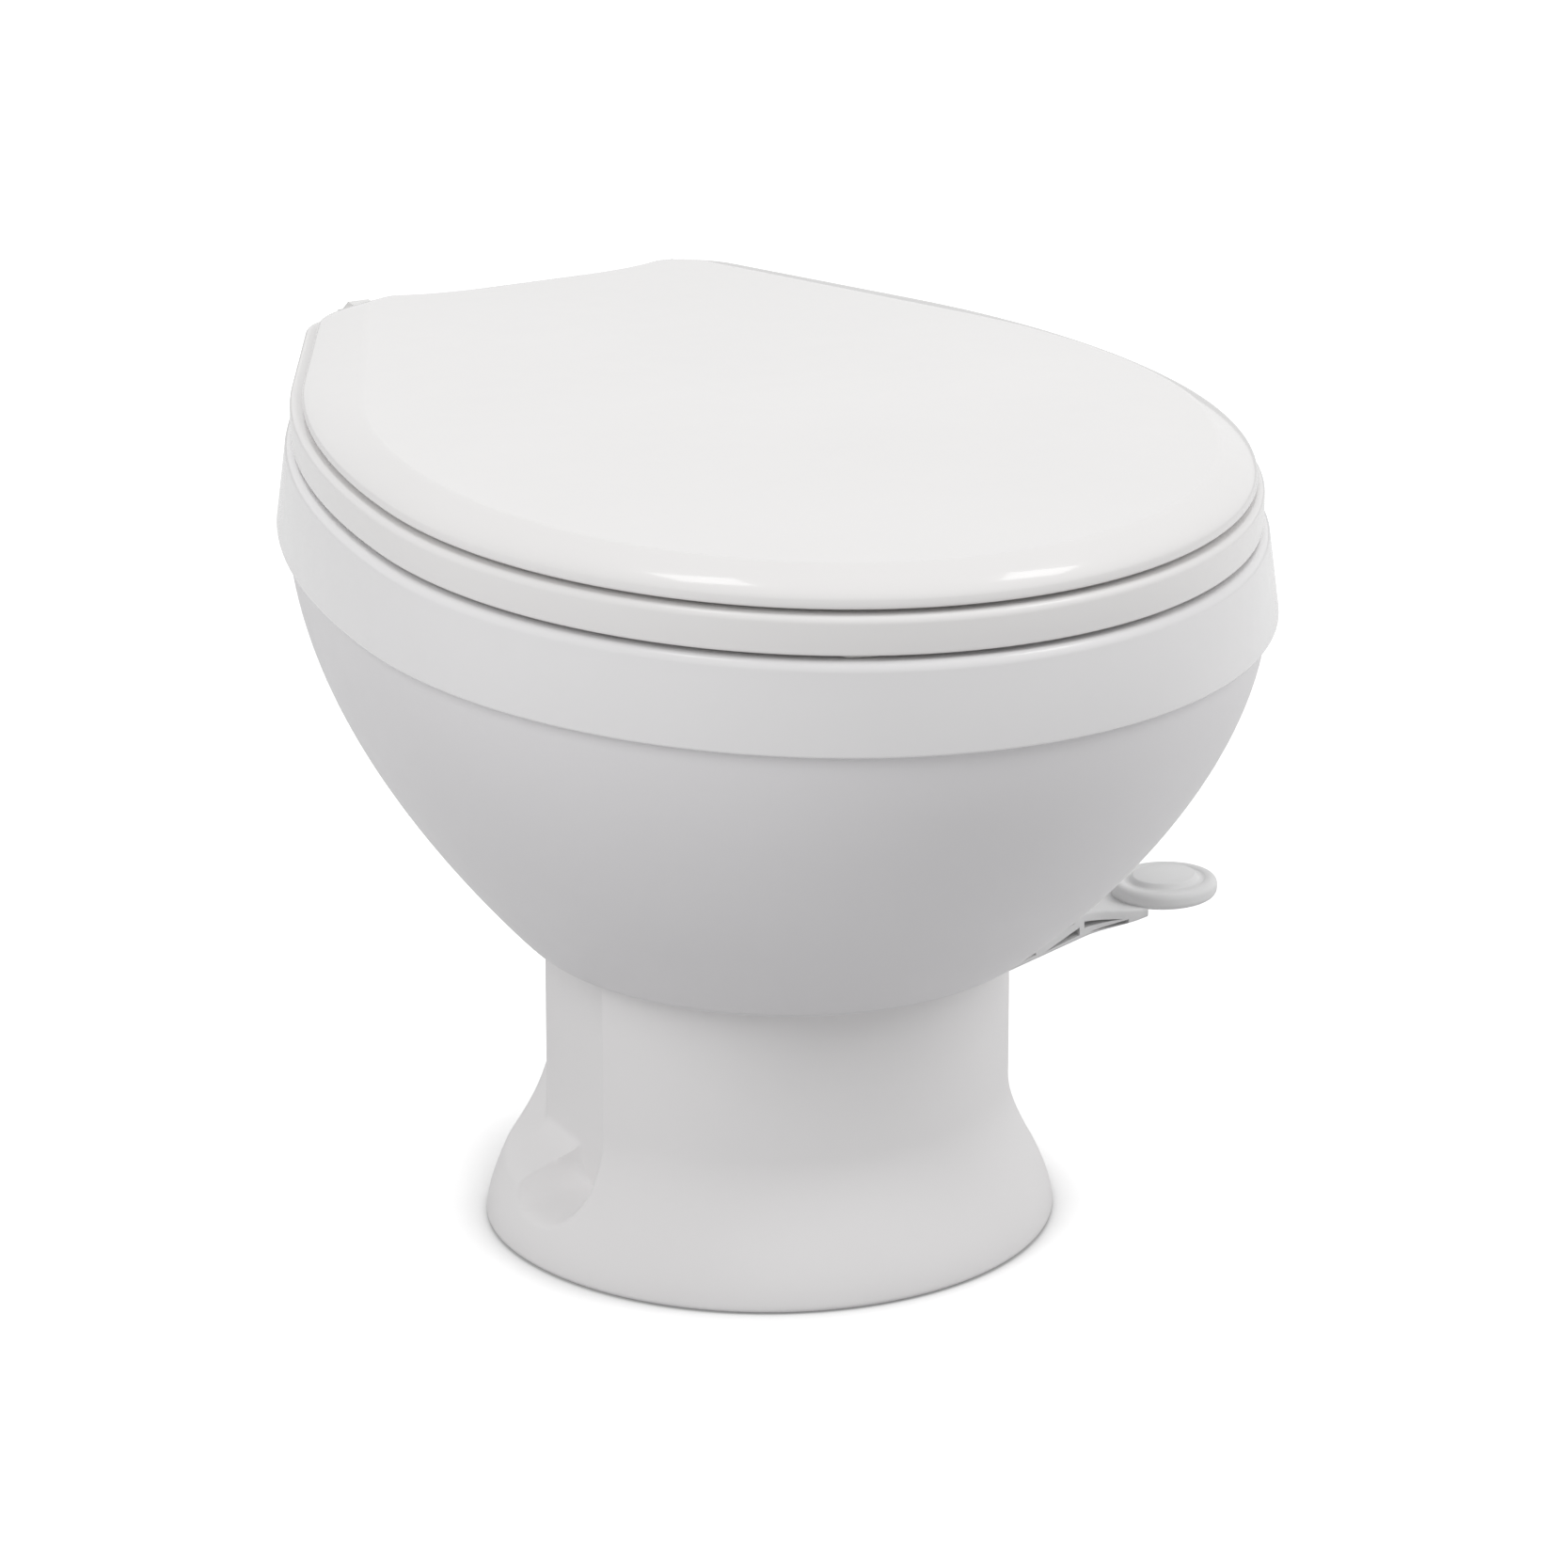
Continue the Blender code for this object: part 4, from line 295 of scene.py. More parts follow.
ENAMEL = moulded("enamel", (0.815, 0.803, 0.798), 0.22, shade=0.012,
                 second_bump=(22.0, 0.05, 0.0006), coat=0.55, specular=0.28)
RIM = moulded("rim_gloss", (0.800, 0.792, 0.796), 0.24, shade=0.012,
              second_bump=(20.0, 0.05, 0.0006), coat=0.7, specular=0.35)
BOWL = moulded("bowl_satin", (0.765, 0.755, 0.764), 0.34, shade=0.014,
               second_bump=(18.0, 0.06, 0.0008), specular=0.3)
PLINTH = moulded("plinth_satin", (0.815, 0.804, 0.804), 0.42, shade=0.016, bump=0.10,
                 second_bump=(16.0, 0.08, 0.0008), specular=0.3)
PEDAL = moulded("pedal_satin", (0.785, 0.785, 0.785), 0.38, shade=0.015, bump=0.12)
HINGE = moulded("hinge_plastic", (0.800, 0.795, 0.785), 0.34, shade=0.015, bump=0.10)
VALVE = moulded("valve_plastic", (0.075, 0.080, 0.085), 0.45, shade=0.12, bump=0.20)
STEEL = moulded("plated_steel", (0.600, 0.600, 0.610), 0.30, shade=0.12, patch_scale=60.0,
                rough_spread=0.09, rough_scale=240.0, bump=0.12, metallic=1.0)
RUBBER = moulded("rubber", (0.030, 0.030, 0.031), 0.68, shade=0.20, bump=0.30, specular=0.35)
BUMPER = moulded("bumper_vinyl", (0.640, 0.635, 0.620), 0.52, shade=0.03, bump=0.15)
HOSE = moulded("hose_vinyl", (0.330, 0.340, 0.350), 0.42, shade=0.10, bump=0.20)

SLOT_FINISHES = {
    "seat_enamel": ENAMEL, "bowl_white": BOWL, "pedestal_white": PLINTH, "pedal_white": PEDAL,
    "hinge_white": HINGE, "valve_grey": VALVE, "zinc_steel": STEEL, "black_rubber": RUBBER,
    "bumper_white": BUMPER, "hose_grey": HOSE,
}


def dress_cad_nodes():
    """Give every CAD node its finish, and a small round to the edges of the plain ones."""
    for name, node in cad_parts.items():
        for place in node.material_slots:
            slot = place.material.name.split(".")[0]
            place.material = SLOT_FINISHES[slot]
        weld = node.modifiers.new("weld", "WELD")
        weld.merge_threshold = WELD_DISTANCE
        rounds = node.modifiers.new("rounds", "BEVEL")
        rounds.limit_method = "ANGLE"
        rounds.angle_limit = ROUND_ANGLE
        rounds.width = ROUND_WIDTH
        rounds.segments = ROUND_STEPS
        rounds.harden_normals = False


# Lid and seat

LID_INSET, LID_NARROWING, LID_REAR_SETBACK = 0.0092, 0.0120, 0.0060
LID_REAR_SHARE, LID_THINNING_START_Y, LID_THINNING_EASE = 0.58, -0.0800, 0.30
LID_FOOT_ROUND, LID_SIDE_LEAN, LID_SIDE_HEIGHT = 0.0015, 0.0006, 0.0032
LID_SHOULDER, LID_TOP_TAPER, LID_TOP_SHORTER = 0.0150, math.radians(24.0), 0.0600
LID_SHOULDER_POWER, LID_BRINK_SHARES = 0.62, (0.006, 0.014, 0.026)
LID_TOP_CORNER, LID_REAR_ROUND, LID_CROWN = 0.0200, 0.0050, 0.0014
LID_SHOULDER_STEPS, LID_RING_POWER, LID_TOP_STEPS, LID_MIDDLE_STEP = 18, 2, 14, 0.5
LID_MIDDLE = Vector((0.0, -0.0150, 0.0))
SEAT_INSET, SEAT_FOOT_ROUND, SEAT_EDGE = 0.0066, 0.0015, 0.0030
SEAT_DISH, SEAT_DISH_WIDTH, SEAT_DISH_STEPS = 0.0020, 0.0220, 8
HINGE_X, POST_WIDTH, KNUCKLE_WIDTH, KNUCKLE_GAP = 0.0600, 0.0120, 0.0100, 0.0005
LEAF_THICKNESS, LEAF_WIDTH, LEAF_LENGTH, LEAF_FIT = 0.0028, 0.0200, 0.0450, 0.0004
SCREW_BORE, SCREW_LENGTH, SCREW_SETBACK_SHARES = 0.0019, 0.0055, (0.45, 0.85)


def leaf_seats(low_z, hand, rear_y):
    """Tools for the shallow seats of the hinge leaves and for the holes of their screws."""
    tools = []
    for side in (-1, 1):
        near = HINGE_X + hand * (POST_WIDTH / 2 + KNUCKLE_GAP)
        middle = side * (near + hand * KNUCKLE_WIDTH / 2)
        half = LEAF_WIDTH / 2 + LEAF_FIT
        tools.append(block((middle - half, rear_y - LEAF_LENGTH - LEAF_FIT, low_z - OVERRUN),
                           (middle + half, RIM_PLAN.rear_y + OVERRUN,
                            low_z + LEAF_THICKNESS + LEAF_FIT)))
        for share in SCREW_SETBACK_SHARES:
            tools.append(rod(SCREW_BORE, low_z - OVERRUN, low_z + SCREW_LENGTH + GAP, "Z",
                             (middle, rear_y - LEAF_LENGTH * share, 0.0), SCREW_BORE_STEPS))
    return tools


def lid_thickness_share(y, rear_y):
    """The share of its full thickness that the lid keeps towards the rear, eased in."""
    along = max((y - LID_THINNING_START_Y) / (rear_y - LID_THINNING_START_Y), 0.0)
    ease = LID_THINNING_EASE
    run = along * along / (2 * ease) if along < ease else along - ease / 2
    return 1 - (1 - LID_REAR_SHARE) * min(run / (1 - ease / 2), 1.0)


def make_lid():
    """The lid: a low side, a sloping shoulder and a flat top with a slight crown."""
    plan = grown(RIM_PLAN, -LID_INSET)._replace(bulge=COVER_BULGE)
    plan = plan._replace(back=plan.back - LID_NARROWING, rear_y=plan.rear_y - LID_REAR_SETBACK)
    side = grown(plan, -LID_SIDE_LEAN)
    top = side._replace(
        half_width=side.half_width - LID_SHOULDER, front=side.front - LID_SHOULDER,
        back=side.back - LID_TOP_SHORTER, taper=LID_TOP_TAPER,
        rear_y=side.rear_y - LID_REAR_ROUND, corner=LID_TOP_CORNER)
    side_top = LID_LOW_Z + LID_SIDE_HEIGHT
    round_z = LID_LOW_Z + LID_FOOT_ROUND
    foot = bend(plan, -LID_FOOT_ROUND, round_z, LID_FOOT_ROUND, -90, 0, FOOT_BEND)
    rings = [outline(grown(p, offset), z) for p, offset, z in foot]
    rings.append(outline(side, side_top))
    for i in range(1, LID_SHOULDER_STEPS + 1):
        share = (i / LID_SHOULDER_STEPS) ** LID_RING_POWER
        rings.append(outline(blended(side, top, share, share),
                             side_top + (LID_TOP_Z - side_top) * share ** LID_SHOULDER_POWER))
    edge = rings[-1]
    shares = [i / (LID_TOP_STEPS + LID_MIDDLE_STEP) for i in range(1, LID_TOP_STEPS + 1)]
    for share in (*LID_BRINK_SHARES, *shares):
        rise = Vector((0.0, 0.0, LID_CROWN * smooth(share)))
        middle = LID_MIDDLE + Vector((0.0, 0.0, LID_TOP_Z))
        rings.append([point.lerp(middle, share) + rise for point in edge])
    for point in (point for ring in rings for point in ring):
        point.z = LID_LOW_Z + (point.z - LID_LOW_Z) * lid_thickness_share(point.y, plan.rear_y)
    piece = loft("lid_board", rings)
    rear_y = RIM_PLAN.rear_y - LID_INSET - LID_REAR_SETBACK + COVER_BULGE
    combine(piece, leaf_seats(LID_LOW_Z, 1, rear_y))
    dress(piece, "lid", "seat_enamel", ENAMEL, "lid")


def make_seat():
    """The seat: a ring with rounded edges, its top sunk a little towards the opening."""
    outer = grown(RIM_PLAN, -SEAT_INSET)._replace(bulge=COVER_BULGE)
    edge_z = SEAT_TOP_Z - SEAT_EDGE
    foot_z = SEAT_LOW_Z + SEAT_FOOT_ROUND
    section = bend(outer, -SEAT_FOOT_ROUND, foot_z, SEAT_FOOT_ROUND, -90, 0, FOOT_BEND)
    section += bend(outer, -SEAT_EDGE, edge_z, SEAT_EDGE, 0, 90, EDGE_BEND)
    for i in range(SEAT_DISH_STEPS + 1):
        share = i / SEAT_DISH_STEPS
        section.append((SEAT_OPENING, SEAT_DISH_WIDTH + (SEAT_EDGE - SEAT_DISH_WIDTH) * share,
                        SEAT_TOP_Z - SEAT_DISH * smooth(share)))
    section += bend(SEAT_OPENING, SEAT_EDGE, edge_z - SEAT_DISH, SEAT_EDGE,
                    90, 180, EDGE_BEND)[1:]
    section += bend(SEAT_OPENING, SEAT_FOOT_ROUND, foot_z, SEAT_FOOT_ROUND, 180, 270, FOOT_BEND)
    piece = section_loft("seat_ring", section)
    combine(piece, leaf_seats(SEAT_LOW_Z, -1, RIM_PLAN.rear_y - SEAT_INSET + COVER_BULGE))
    dress(piece, "seat", "seat_enamel", ENAMEL, "seat")


# Rim, bowl and basin

RIM_LEAN, RIM_EDGE, RIM_FOOT_ROUND, RIM_RABBET, RIM_WALL = 0.0040, 0.0040, 0.0012, 0.0042, 0.0060
RIM_CEILING_Z, RIM_SKIRT_Z, RIM_SKIRT_WALL = 0.3055, 0.2830, 0.0040
SHELL_TOP_Z, SHELL_WALL, SHELL_FOOT_HEIGHT, SHELL_RINGS = 0.2860, 0.0045, 0.0040, 40
SHELL_LOW_Z = NECK_TOP_Z + GAP
SHELL_SIDE, SHELL_REAR = (1.665, 1.033), (2.676, 2.320)
SHELL_EDGE, SHELL_RING_POWER = 0.0010, 1.4
WINDOW_HALF_WIDTH, WINDOW_HEIGHT, WINDOW_FLOOR = 0.0550, 0.1150, 0.0100
HINGE_BOLT_BORE, HINGE_BOLT_Y = 0.0033, 0.2465
OUTLET_RADIUS, SPIGOT_WALL, FLANGE_RADIUS = 0.0300, 0.0040, 0.0640
HOUSING_TOP_Z, FLANGE_HEIGHT, BASIN_THROAT = 0.1100, 0.0060, 0.0200
BASIN_WALL, BASIN_CHANNEL, BASIN_SWELL = 0.0040, 0.0060, (2.2, 1.5)
BASIN_RINGS, BASIN_RING_POWER = 28, 1.3
PORT_RADIUS, PORT_DROP = 0.0040, 0.0160


def make_rim():
    """The rim and deck: a cap over the bowl's edge, with a skirt that hangs inside."""
    low = RIM_LOW_Z + RIM_FOOT_ROUND
    section = bend(RIM_PLAN, -RIM_FOOT_ROUND, low, RIM_FOOT_ROUND, -90, 0, FOOT_BEND)
    section += bend(RIM_PLAN, -RIM_LEAN - RIM_EDGE, RIM_TOP_Z - RIM_EDGE, RIM_EDGE,
                    0, 90, RIM_EDGE_BEND)
    section += bend(RIM_OPENING, RIM_EDGE, RIM_TOP_Z - RIM_EDGE, RIM_EDGE, 90, 180, EDGE_BEND)
    section += [
        (RIM_OPENING, 0.0, RIM_SKIRT_Z), (RIM_OPENING, RIM_SKIRT_WALL, RIM_SKIRT_Z),
        (RIM_OPENING, RIM_SKIRT_WALL, RIM_CEILING_Z),
        (RIM_PLAN, -RIM_LEAN - RIM_WALL, RIM_CEILING_Z),
        (RIM_PLAN, -RIM_LEAN - RIM_WALL, SHELL_TOP_Z), (RIM_PLAN, -RIM_RABBET, SHELL_TOP_Z),
        (RIM_PLAN, -RIM_RABBET, RIM_LOW_Z),
    ]
    piece = section_loft("rim_cap", section)
    combine(piece, [rod(HINGE_BOLT_BORE, RIM_CEILING_Z - OVERRUN, RIM_TOP_Z + OVERRUN, "Z",
                        (side * HINGE_X, HINGE_BOLT_Y, 0.0)) for side in (-1, 1)])
    dress(piece, "base", "bowl_white", RIM, "rim")


def shell_plan(z):
    """The outer bowl's plan at a height, from the neck's to the one under the rim."""
    share = min((z - SHELL_LOW_Z) / (RIM_LOW_Z - SHELL_LOW_Z), 1.0)
    top = grown(RIM_PLAN, -(RIM_RABBET + GAP))
    return blended(SHELL_NECK, top, swell(share, *SHELL_SIDE), swell(share, *SHELL_REAR))


def make_bowl():
    """The outer bowl, one shell thick, with its window at the rear."""
    height = RIM_LOW_Z - SHELL_LOW_Z
    levels = [SHELL_LOW_Z + height * (i / SHELL_RINGS) ** SHELL_RING_POWER
              for i in range(1, SHELL_RINGS + 1)]
    levels.append(SHELL_TOP_Z - GAP)
    foot_z = SHELL_LOW_Z + SHELL_FOOT_HEIGHT
    foot = bend(shell_plan(SHELL_LOW_Z), -SHELL_EDGE, SHELL_LOW_Z + SHELL_EDGE, SHELL_EDGE,
                -90, 0, FOOT_BEND)
    outer = [outline(grown(plan, offset), z) for plan, offset, z in foot]
    outer += [outline(shell_plan(z), z) for z in levels if z > SHELL_LOW_Z + SHELL_EDGE]
    inner = [outline(grown(shell_plan(z), -SHELL_WALL), z) for z in reversed(levels) if z > foot_z]
    inner += [outline(grown(shell_plan(foot_z), -SHELL_WALL), foot_z),
              outline(NECK_CAVITY, foot_z), outline(NECK_CAVITY, SHELL_LOW_Z)]
    piece = loft("outer_bowl", outer + inner, True)
    low = SHELL_LOW_Z + WINDOW_FLOOR
    combine(piece, [block((-WINDOW_HALF_WIDTH, SHELL_NECK.rear_y, low),
                          (WINDOW_HALF_WIDTH, RIM_PLAN.rear_y + RIM_PLAN.bulge + OVERRUN,
                           low + WINDOW_HEIGHT), SHELL_WALL)])
    dress(piece, "base", "bowl_white", BOWL, "bowl_shell")


def make_basin():
    """The inner bowl, from its round flange to the opening under the rim."""
    top_z = RIM_CEILING_Z - GAP
    throat_z = HOUSING_TOP_Z + BASIN_THROAT
    inner_plan = grown(RIM_OPENING, RIM_SKIRT_WALL + BASIN_CHANNEL)
    outer_plan = grown(RIM_OPENING, RIM_SKIRT_WALL + BASIN_CHANNEL + BASIN_WALL)
    inner_top, outer_top = outline(inner_plan, top_z), outline(outer_plan, top_z)

    def circle(radius, z):
        return [Vector((p.x, p.y, 0.0)).normalized() * radius + Vector((0.0, 0.0, z))
                for p in inner_top]

    def wall(low, high):
        rings = []
        for i in range(1, BASIN_RINGS + 1):
            share = (i / BASIN_RINGS) ** BASIN_RING_POWER
            opening = swell(share, *BASIN_SWELL)
            z = throat_z + (top_z - throat_z) * share
            rings.append([Vector((a.x + (b.x - a.x) * opening, a.y + (b.y - a.y) * opening, z))
                          for a, b in zip(low, high)])
        return rings

    low_z, high_z = HOUSING_TOP_Z + GAP, HOUSING_TOP_Z + FLANGE_HEIGHT
    outer_low = circle(OUTLET_RADIUS + SPIGOT_WALL, throat_z)
    inner_low = circle(OUTLET_RADIUS, throat_z)
    rings = [circle(OUTLET_RADIUS, low_z), circle(FLANGE_RADIUS, low_z),
             circle(FLANGE_RADIUS, high_z), circle(OUTLET_RADIUS + SPIGOT_WALL, high_z), outer_low]
    rings += wall(outer_low, outer_top) + wall(inner_low, inner_top)[::-1] + [inner_low]
    piece = loft("inner_bowl", rings, True)
    rear_y = outer_plan.rear_y
    combine(piece, [rod(PORT_RADIUS, rear_y - BASIN_WALL - OVERRUN, rear_y + OVERRUN, "Y",
                        (0.0, 0.0, RIM_CEILING_Z - PORT_DROP))])
    dress(piece, "base", "bowl_white", BOWL, "basin")


# Pedestal

BASE_FLARE, BASE_FLARE_HEIGHT, BASE_FLARE_POWER, BASE_EDGE = 0.0190, 0.0580, 0.9, 0.0020
BASE_BACK_SHARE, BASE_TAPER = 0.5, math.radians(50.0)
NECK_EDGE = 0.0008
RELIEF_X, RELIEF_FRONT_Y, RELIEF_TURN_Y = 0.0850, -0.0370, 0.0330
RELIEF_REAR_X, RELIEF_REAR_Y, RELIEF_FLOOR_Z = 0.0450, 0.1140, 0.0240
POCKET_REAR_Y, POCKET_FLOOR_Z, POCKET_ROUND = 0.0100, 0.0160, 0.0180
RELIEF_SOFT, SHELF_SOFT, POCKET_SOFT = 0.0060, 0.0180, 0.0110
REAR_OPENING_HALF, REAR_OPENING_Y, REAR_OPENING_TOP = 0.0500, 0.0850, 0.1050
PEDAL_SLOT_Y, PEDAL_SLOT_FLOOR_Z = 0.0560, 0.0080
FLARE_RINGS, NECK_RINGS = 46, 8


def flare_at(z):
    """How far the foot stands out from the neck at a height."""
    share = min(z / BASE_FLARE_HEIGHT, 1.0) ** BASE_FLARE_POWER
    return BASE_FLARE * (1 + math.cos(math.pi * share)) / 2


def flared(offset):
    """The neck's plan, wider and rounder towards the floor, with its rear where it is."""
    if offset <= 0:
        return grown(NECK_PLAN, offset)
    return grown(NECK_PLAN, offset)._replace(
        back=NECK_PLAN.back + offset * BASE_BACK_SHARE, rear_y=NECK_PLAN.rear_y,
        taper=NECK_PLAN.taper + (BASE_TAPER - NECK_PLAN.taper) * offset / BASE_FLARE)


def relieved(point):
    """Press a point of the pedestal's side in to the channel and the bolt pocket."""
    reach = abs(point.x)
    along = (point.y - RELIEF_TURN_Y) / (RELIEF_REAR_Y - RELIEF_TURN_Y)
    wall = RELIEF_X + (RELIEF_REAR_X - RELIEF_X) * min(max(along, 0.0), 1.0)
    behind = smooth((point.y - RELIEF_FRONT_Y) / RELIEF_SOFT)
    above = smooth((point.z - RELIEF_FLOOR_Z) / SHELF_SOFT)
    half = (POCKET_REAR_Y - RELIEF_FRONT_Y) / 2 - POCKET_ROUND
    beside = max(abs(point.y - (POCKET_REAR_Y + RELIEF_FRONT_Y) / 2) - half, 0.0)
    below = max(POCKET_FLOOR_Z + POCKET_ROUND - point.z, 0.0)
    pocket = smooth((POCKET_ROUND - math.hypot(beside, below)) / POCKET_SOFT)
    share = max(behind * above, pocket)
    reach += (min(reach, wall) - reach) * share
    return Vector((math.copysign(reach, point.x), point.y, point.z))


def make_pedestal():
    """The pedestal: a flared shroud, hollow, with an opening behind and a slot for the pedal."""
    levels = [BASE_EDGE + (BASE_FLARE_HEIGHT - BASE_EDGE) * i / FLARE_RINGS
              for i in range(1, FLARE_RINGS + 1)]
    levels += [BASE_FLARE_HEIGHT + (NECK_TOP_Z - NECK_EDGE - BASE_FLARE_HEIGHT) * i / NECK_RINGS
               for i in range(1, NECK_RINGS)]
    section = [(offset, z) for _, offset, z in
               bend(None, flare_at(BASE_EDGE) - BASE_EDGE, BASE_EDGE, BASE_EDGE,
                    -90, 0, PLINTH_FOOT_BEND)]
    section += [(flare_at(z), z) for z in levels]
    section += [(offset, z) for _, offset, z in
                bend(None, -NECK_EDGE, NECK_TOP_Z - NECK_EDGE, NECK_EDGE, 0, 90, FOOT_BEND)]
    outer = [[relieved(p) for p in outline(flared(offset), z, NECK_STEPS)] for offset, z in section]
    inner = [outline(NECK_CAVITY, z, NECK_STEPS) for z in (NECK_TOP_Z, 0.0)]
    piece = loft("plinth", outer + inner, True)
    far = NECK_PLAN.half_width + BASE_FLARE + OVERRUN
    deep = NECK_PLAN.rear_y + BASE_FLARE + OVERRUN
    tools = [block((-REAR_OPENING_HALF, REAR_OPENING_Y, -OVERRUN),
                   (REAR_OPENING_HALF, deep, REAR_OPENING_TOP)),
             block((REAR_OPENING_HALF - OVERRUN, PEDAL_SLOT_Y, PEDAL_SLOT_FLOOR_Z),
                   (far, deep + OVERRUN, REAR_OPENING_TOP))]
    combine(piece, tools)
    dress(piece, "base", "pedestal_white", PLINTH, "pedestal")


# Pedal

BALL_AXIS_Z, PIVOT_X, PIN_BORE, HUB_RADIUS = 0.0620, 0.0520, 0.0038, 0.0090
GEAR_START_Y, GEAR_WIDTH, GEAR_MODULE, SECTOR_TEETH = 0.0706, 0.0077, 0.0020, 43
PRESSURE_ANGLE, ADDENDUM_SHARE, DEDENDUM_SHARE = math.radians(25.0), 0.80, 1.15
BACKLASH, SECTOR_FIRST_TOOTH, SECTOR_LAST_TOOTH, FLANK_STEPS = 0.00045, -1, 3, 6
LEVER_WIDTH, LEVER_FLANGE, LEVER_TOP_Z, LEVER_ROUND = 0.0170, 0.0040, 0.0770, 0.0012
LEVER_DEEP, LEVER_DEEP_X, LEVER_SHALLOW, LEVER_END_X = 0.0340, 0.0940, 0.0042, 0.2070
LEVER_WEB, LEVER_RIB, LEVER_BAYS, LEVER_STATIONS = 0.0040, 0.0022, 5, 30
LEVER_ROUND_SHARE = 1 / 3
LEVER_SPREAD, LEVER_SPREAD_X, LEVER_CORNER_STEPS = 0.0070, 0.1800, 3
PAD_CENTRE = Vector((0.2232, 0.0660, 0.0))
PAD_TOP_Z, PAD_HALF_LENGTH, PAD_HALF_DEPTH, PAD_THICKNESS = 0.0850, 0.0235, 0.0215, 0.0095
PAD_EDGE, PAD_BORDER, PAD_RAISE, PAD_GROOVE = 0.0030, 0.0060, 0.0016, 0.0016
PAD_POINTS, PAD_GROOVE_STEPS, PAD_RISE_STEPS, PAD_RISE_SHARE = 96, 4, 8, 1.4


def lever_low_z(x):
    """The lever's lower edge, which rises towards the pad."""
    share = max((x - LEVER_DEEP_X) / (LEVER_END_X - LEVER_DEEP_X), 0.0)
    return LEVER_TOP_Z - LEVER_DEEP - (LEVER_SHALLOW - LEVER_DEEP) * share


def lever_section(x, y, half):
    """A rounded rectangle across the lever."""
    low, ring = lever_low_z(x), []
    radius = min(LEVER_ROUND, (LEVER_TOP_Z - low) * LEVER_ROUND_SHARE)
    corners = ((half, LEVER_TOP_Z, 0), (-half, LEVER_TOP_Z, 90),
               (-half, low, 180), (half, low, 270))
    for across, z, start in corners:
        for i in range(LEVER_CORNER_STEPS + 1):
            angle = math.radians(start + 90 * i / LEVER_CORNER_STEPS)
            middle_y = y + across + math.copysign(radius, -across)
            middle_z = z + (radius if z == low else -radius)
            ring.append(Vector((x, middle_y + radius * math.cos(angle),
                                middle_z + radius * math.sin(angle))))
    return ring


def make_lever():
    """The lever's bar, from the gear's width to a wider end under the pad."""
    start_x, start_y = PIVOT_X + HUB_RADIUS, GEAR_START_Y + GEAR_WIDTH / 2
    rings = []
    for i in range(LEVER_STATIONS + 1):
        x = start_x + (LEVER_END_X - start_x) * i / LEVER_STATIONS
        turn = smooth((x - start_x) / LEVER_WIDTH)
        half = (GEAR_WIDTH + (LEVER_WIDTH - GEAR_WIDTH) * turn) / 2
        half += LEVER_SPREAD * smooth((x - LEVER_SPREAD_X) / (LEVER_END_X - LEVER_SPREAD_X))
        rings.append(lever_section(x, start_y + (PAD_CENTRE.y - start_y) * turn, half))
    return loft("foot_pedal", rings)


def lever_bays():
    """Tools for the three-cornered pockets between the lever's flange and slanting ribs."""
    tools = []
    ceiling = LEVER_TOP_Z - LEVER_FLANGE
    bay = (PAD_CENTRE.x - PAD_HALF_LENGTH - LEVER_DEEP_X) / LEVER_BAYS
    for i in range(LEVER_BAYS):
        near = LEVER_DEEP_X + bay * i + LEVER_RIB / 2
        far = LEVER_DEEP_X + bay * (i + 1) - LEVER_RIB / 2
        low_near, low_far = lever_low_z(near) + LEVER_RIB, lever_low_z(far) + LEVER_RIB
        for corners in ([(near, ceiling), (far - LEVER_RIB, ceiling), (near, low_near + LEVER_RIB)],
                        [(near + LEVER_RIB, low_near), (far, low_far), (far, ceiling - LEVER_RIB)]):
            for hand in (-1, 1):
                ends = sorted((PAD_CENTRE.y + hand * LEVER_WEB / 2,
                               PAD_CENTRE.y + hand * LEVER_WIDTH))
                tools.append(prism(corners, *ends))
    return tools


def pad_ring(inset, z):
    """The pad's oval, drawn in by an inset."""
    ring = []
    for k in range(PAD_POINTS):
        angle = 2 * math.pi * k / PAD_POINTS
        ring.append(Vector((PAD_CENTRE.x + (PAD_HALF_LENGTH - inset) * math.cos(angle),
                            PAD_CENTRE.y + (PAD_HALF_DEPTH - inset) * math.sin(angle), z)))
    return ring


def make_pad():
    """The pad: rounded edges, a border and a raised middle with a groove between them."""
    low, brim = PAD_TOP_Z - PAD_THICKNESS, PAD_TOP_Z - PAD_RAISE
    section = [(-offset, z) for _, offset, z in
               bend(None, -PAD_EDGE, low + PAD_EDGE, PAD_EDGE, -90, 0, PAD_FOOT_BEND)]
    section += [(-offset, z) for _, offset, z in
                bend(None, -PAD_EDGE, brim - PAD_EDGE, PAD_EDGE, 0, 90, EDGE_BEND)]
    groove = brim - PAD_GROOVE / 2
    for i in range(1, PAD_GROOVE_STEPS + 1):
        share = i / PAD_GROOVE_STEPS
        section.append((PAD_BORDER - PAD_GROOVE + PAD_GROOVE * share,
                        brim + (groove - brim) * smooth(share)))
    start = PAD_BORDER + PAD_GROOVE
    for i in range(PAD_RISE_STEPS + 1):
        share = i / PAD_RISE_STEPS
        section.append((start + PAD_GROOVE * PAD_RISE_SHARE * share,
                        groove + (PAD_TOP_Z - groove) * smooth(share)))
    return loft("pad", [pad_ring(inset, z) for inset, z in section])


def tooth_half_angle(radius):
    """Half the angle that an involute tooth takes up at a radius."""
    pitch = GEAR_MODULE * SECTOR_TEETH / 2
    slope = math.acos(min(pitch * math.cos(PRESSURE_ANGLE) / radius, 1.0))
    spread = math.tan(PRESSURE_ANGLE) - PRESSURE_ANGLE - math.tan(slope) + slope
    return math.pi / (2 * SECTOR_TEETH) - BACKLASH / 2 / pitch + spread


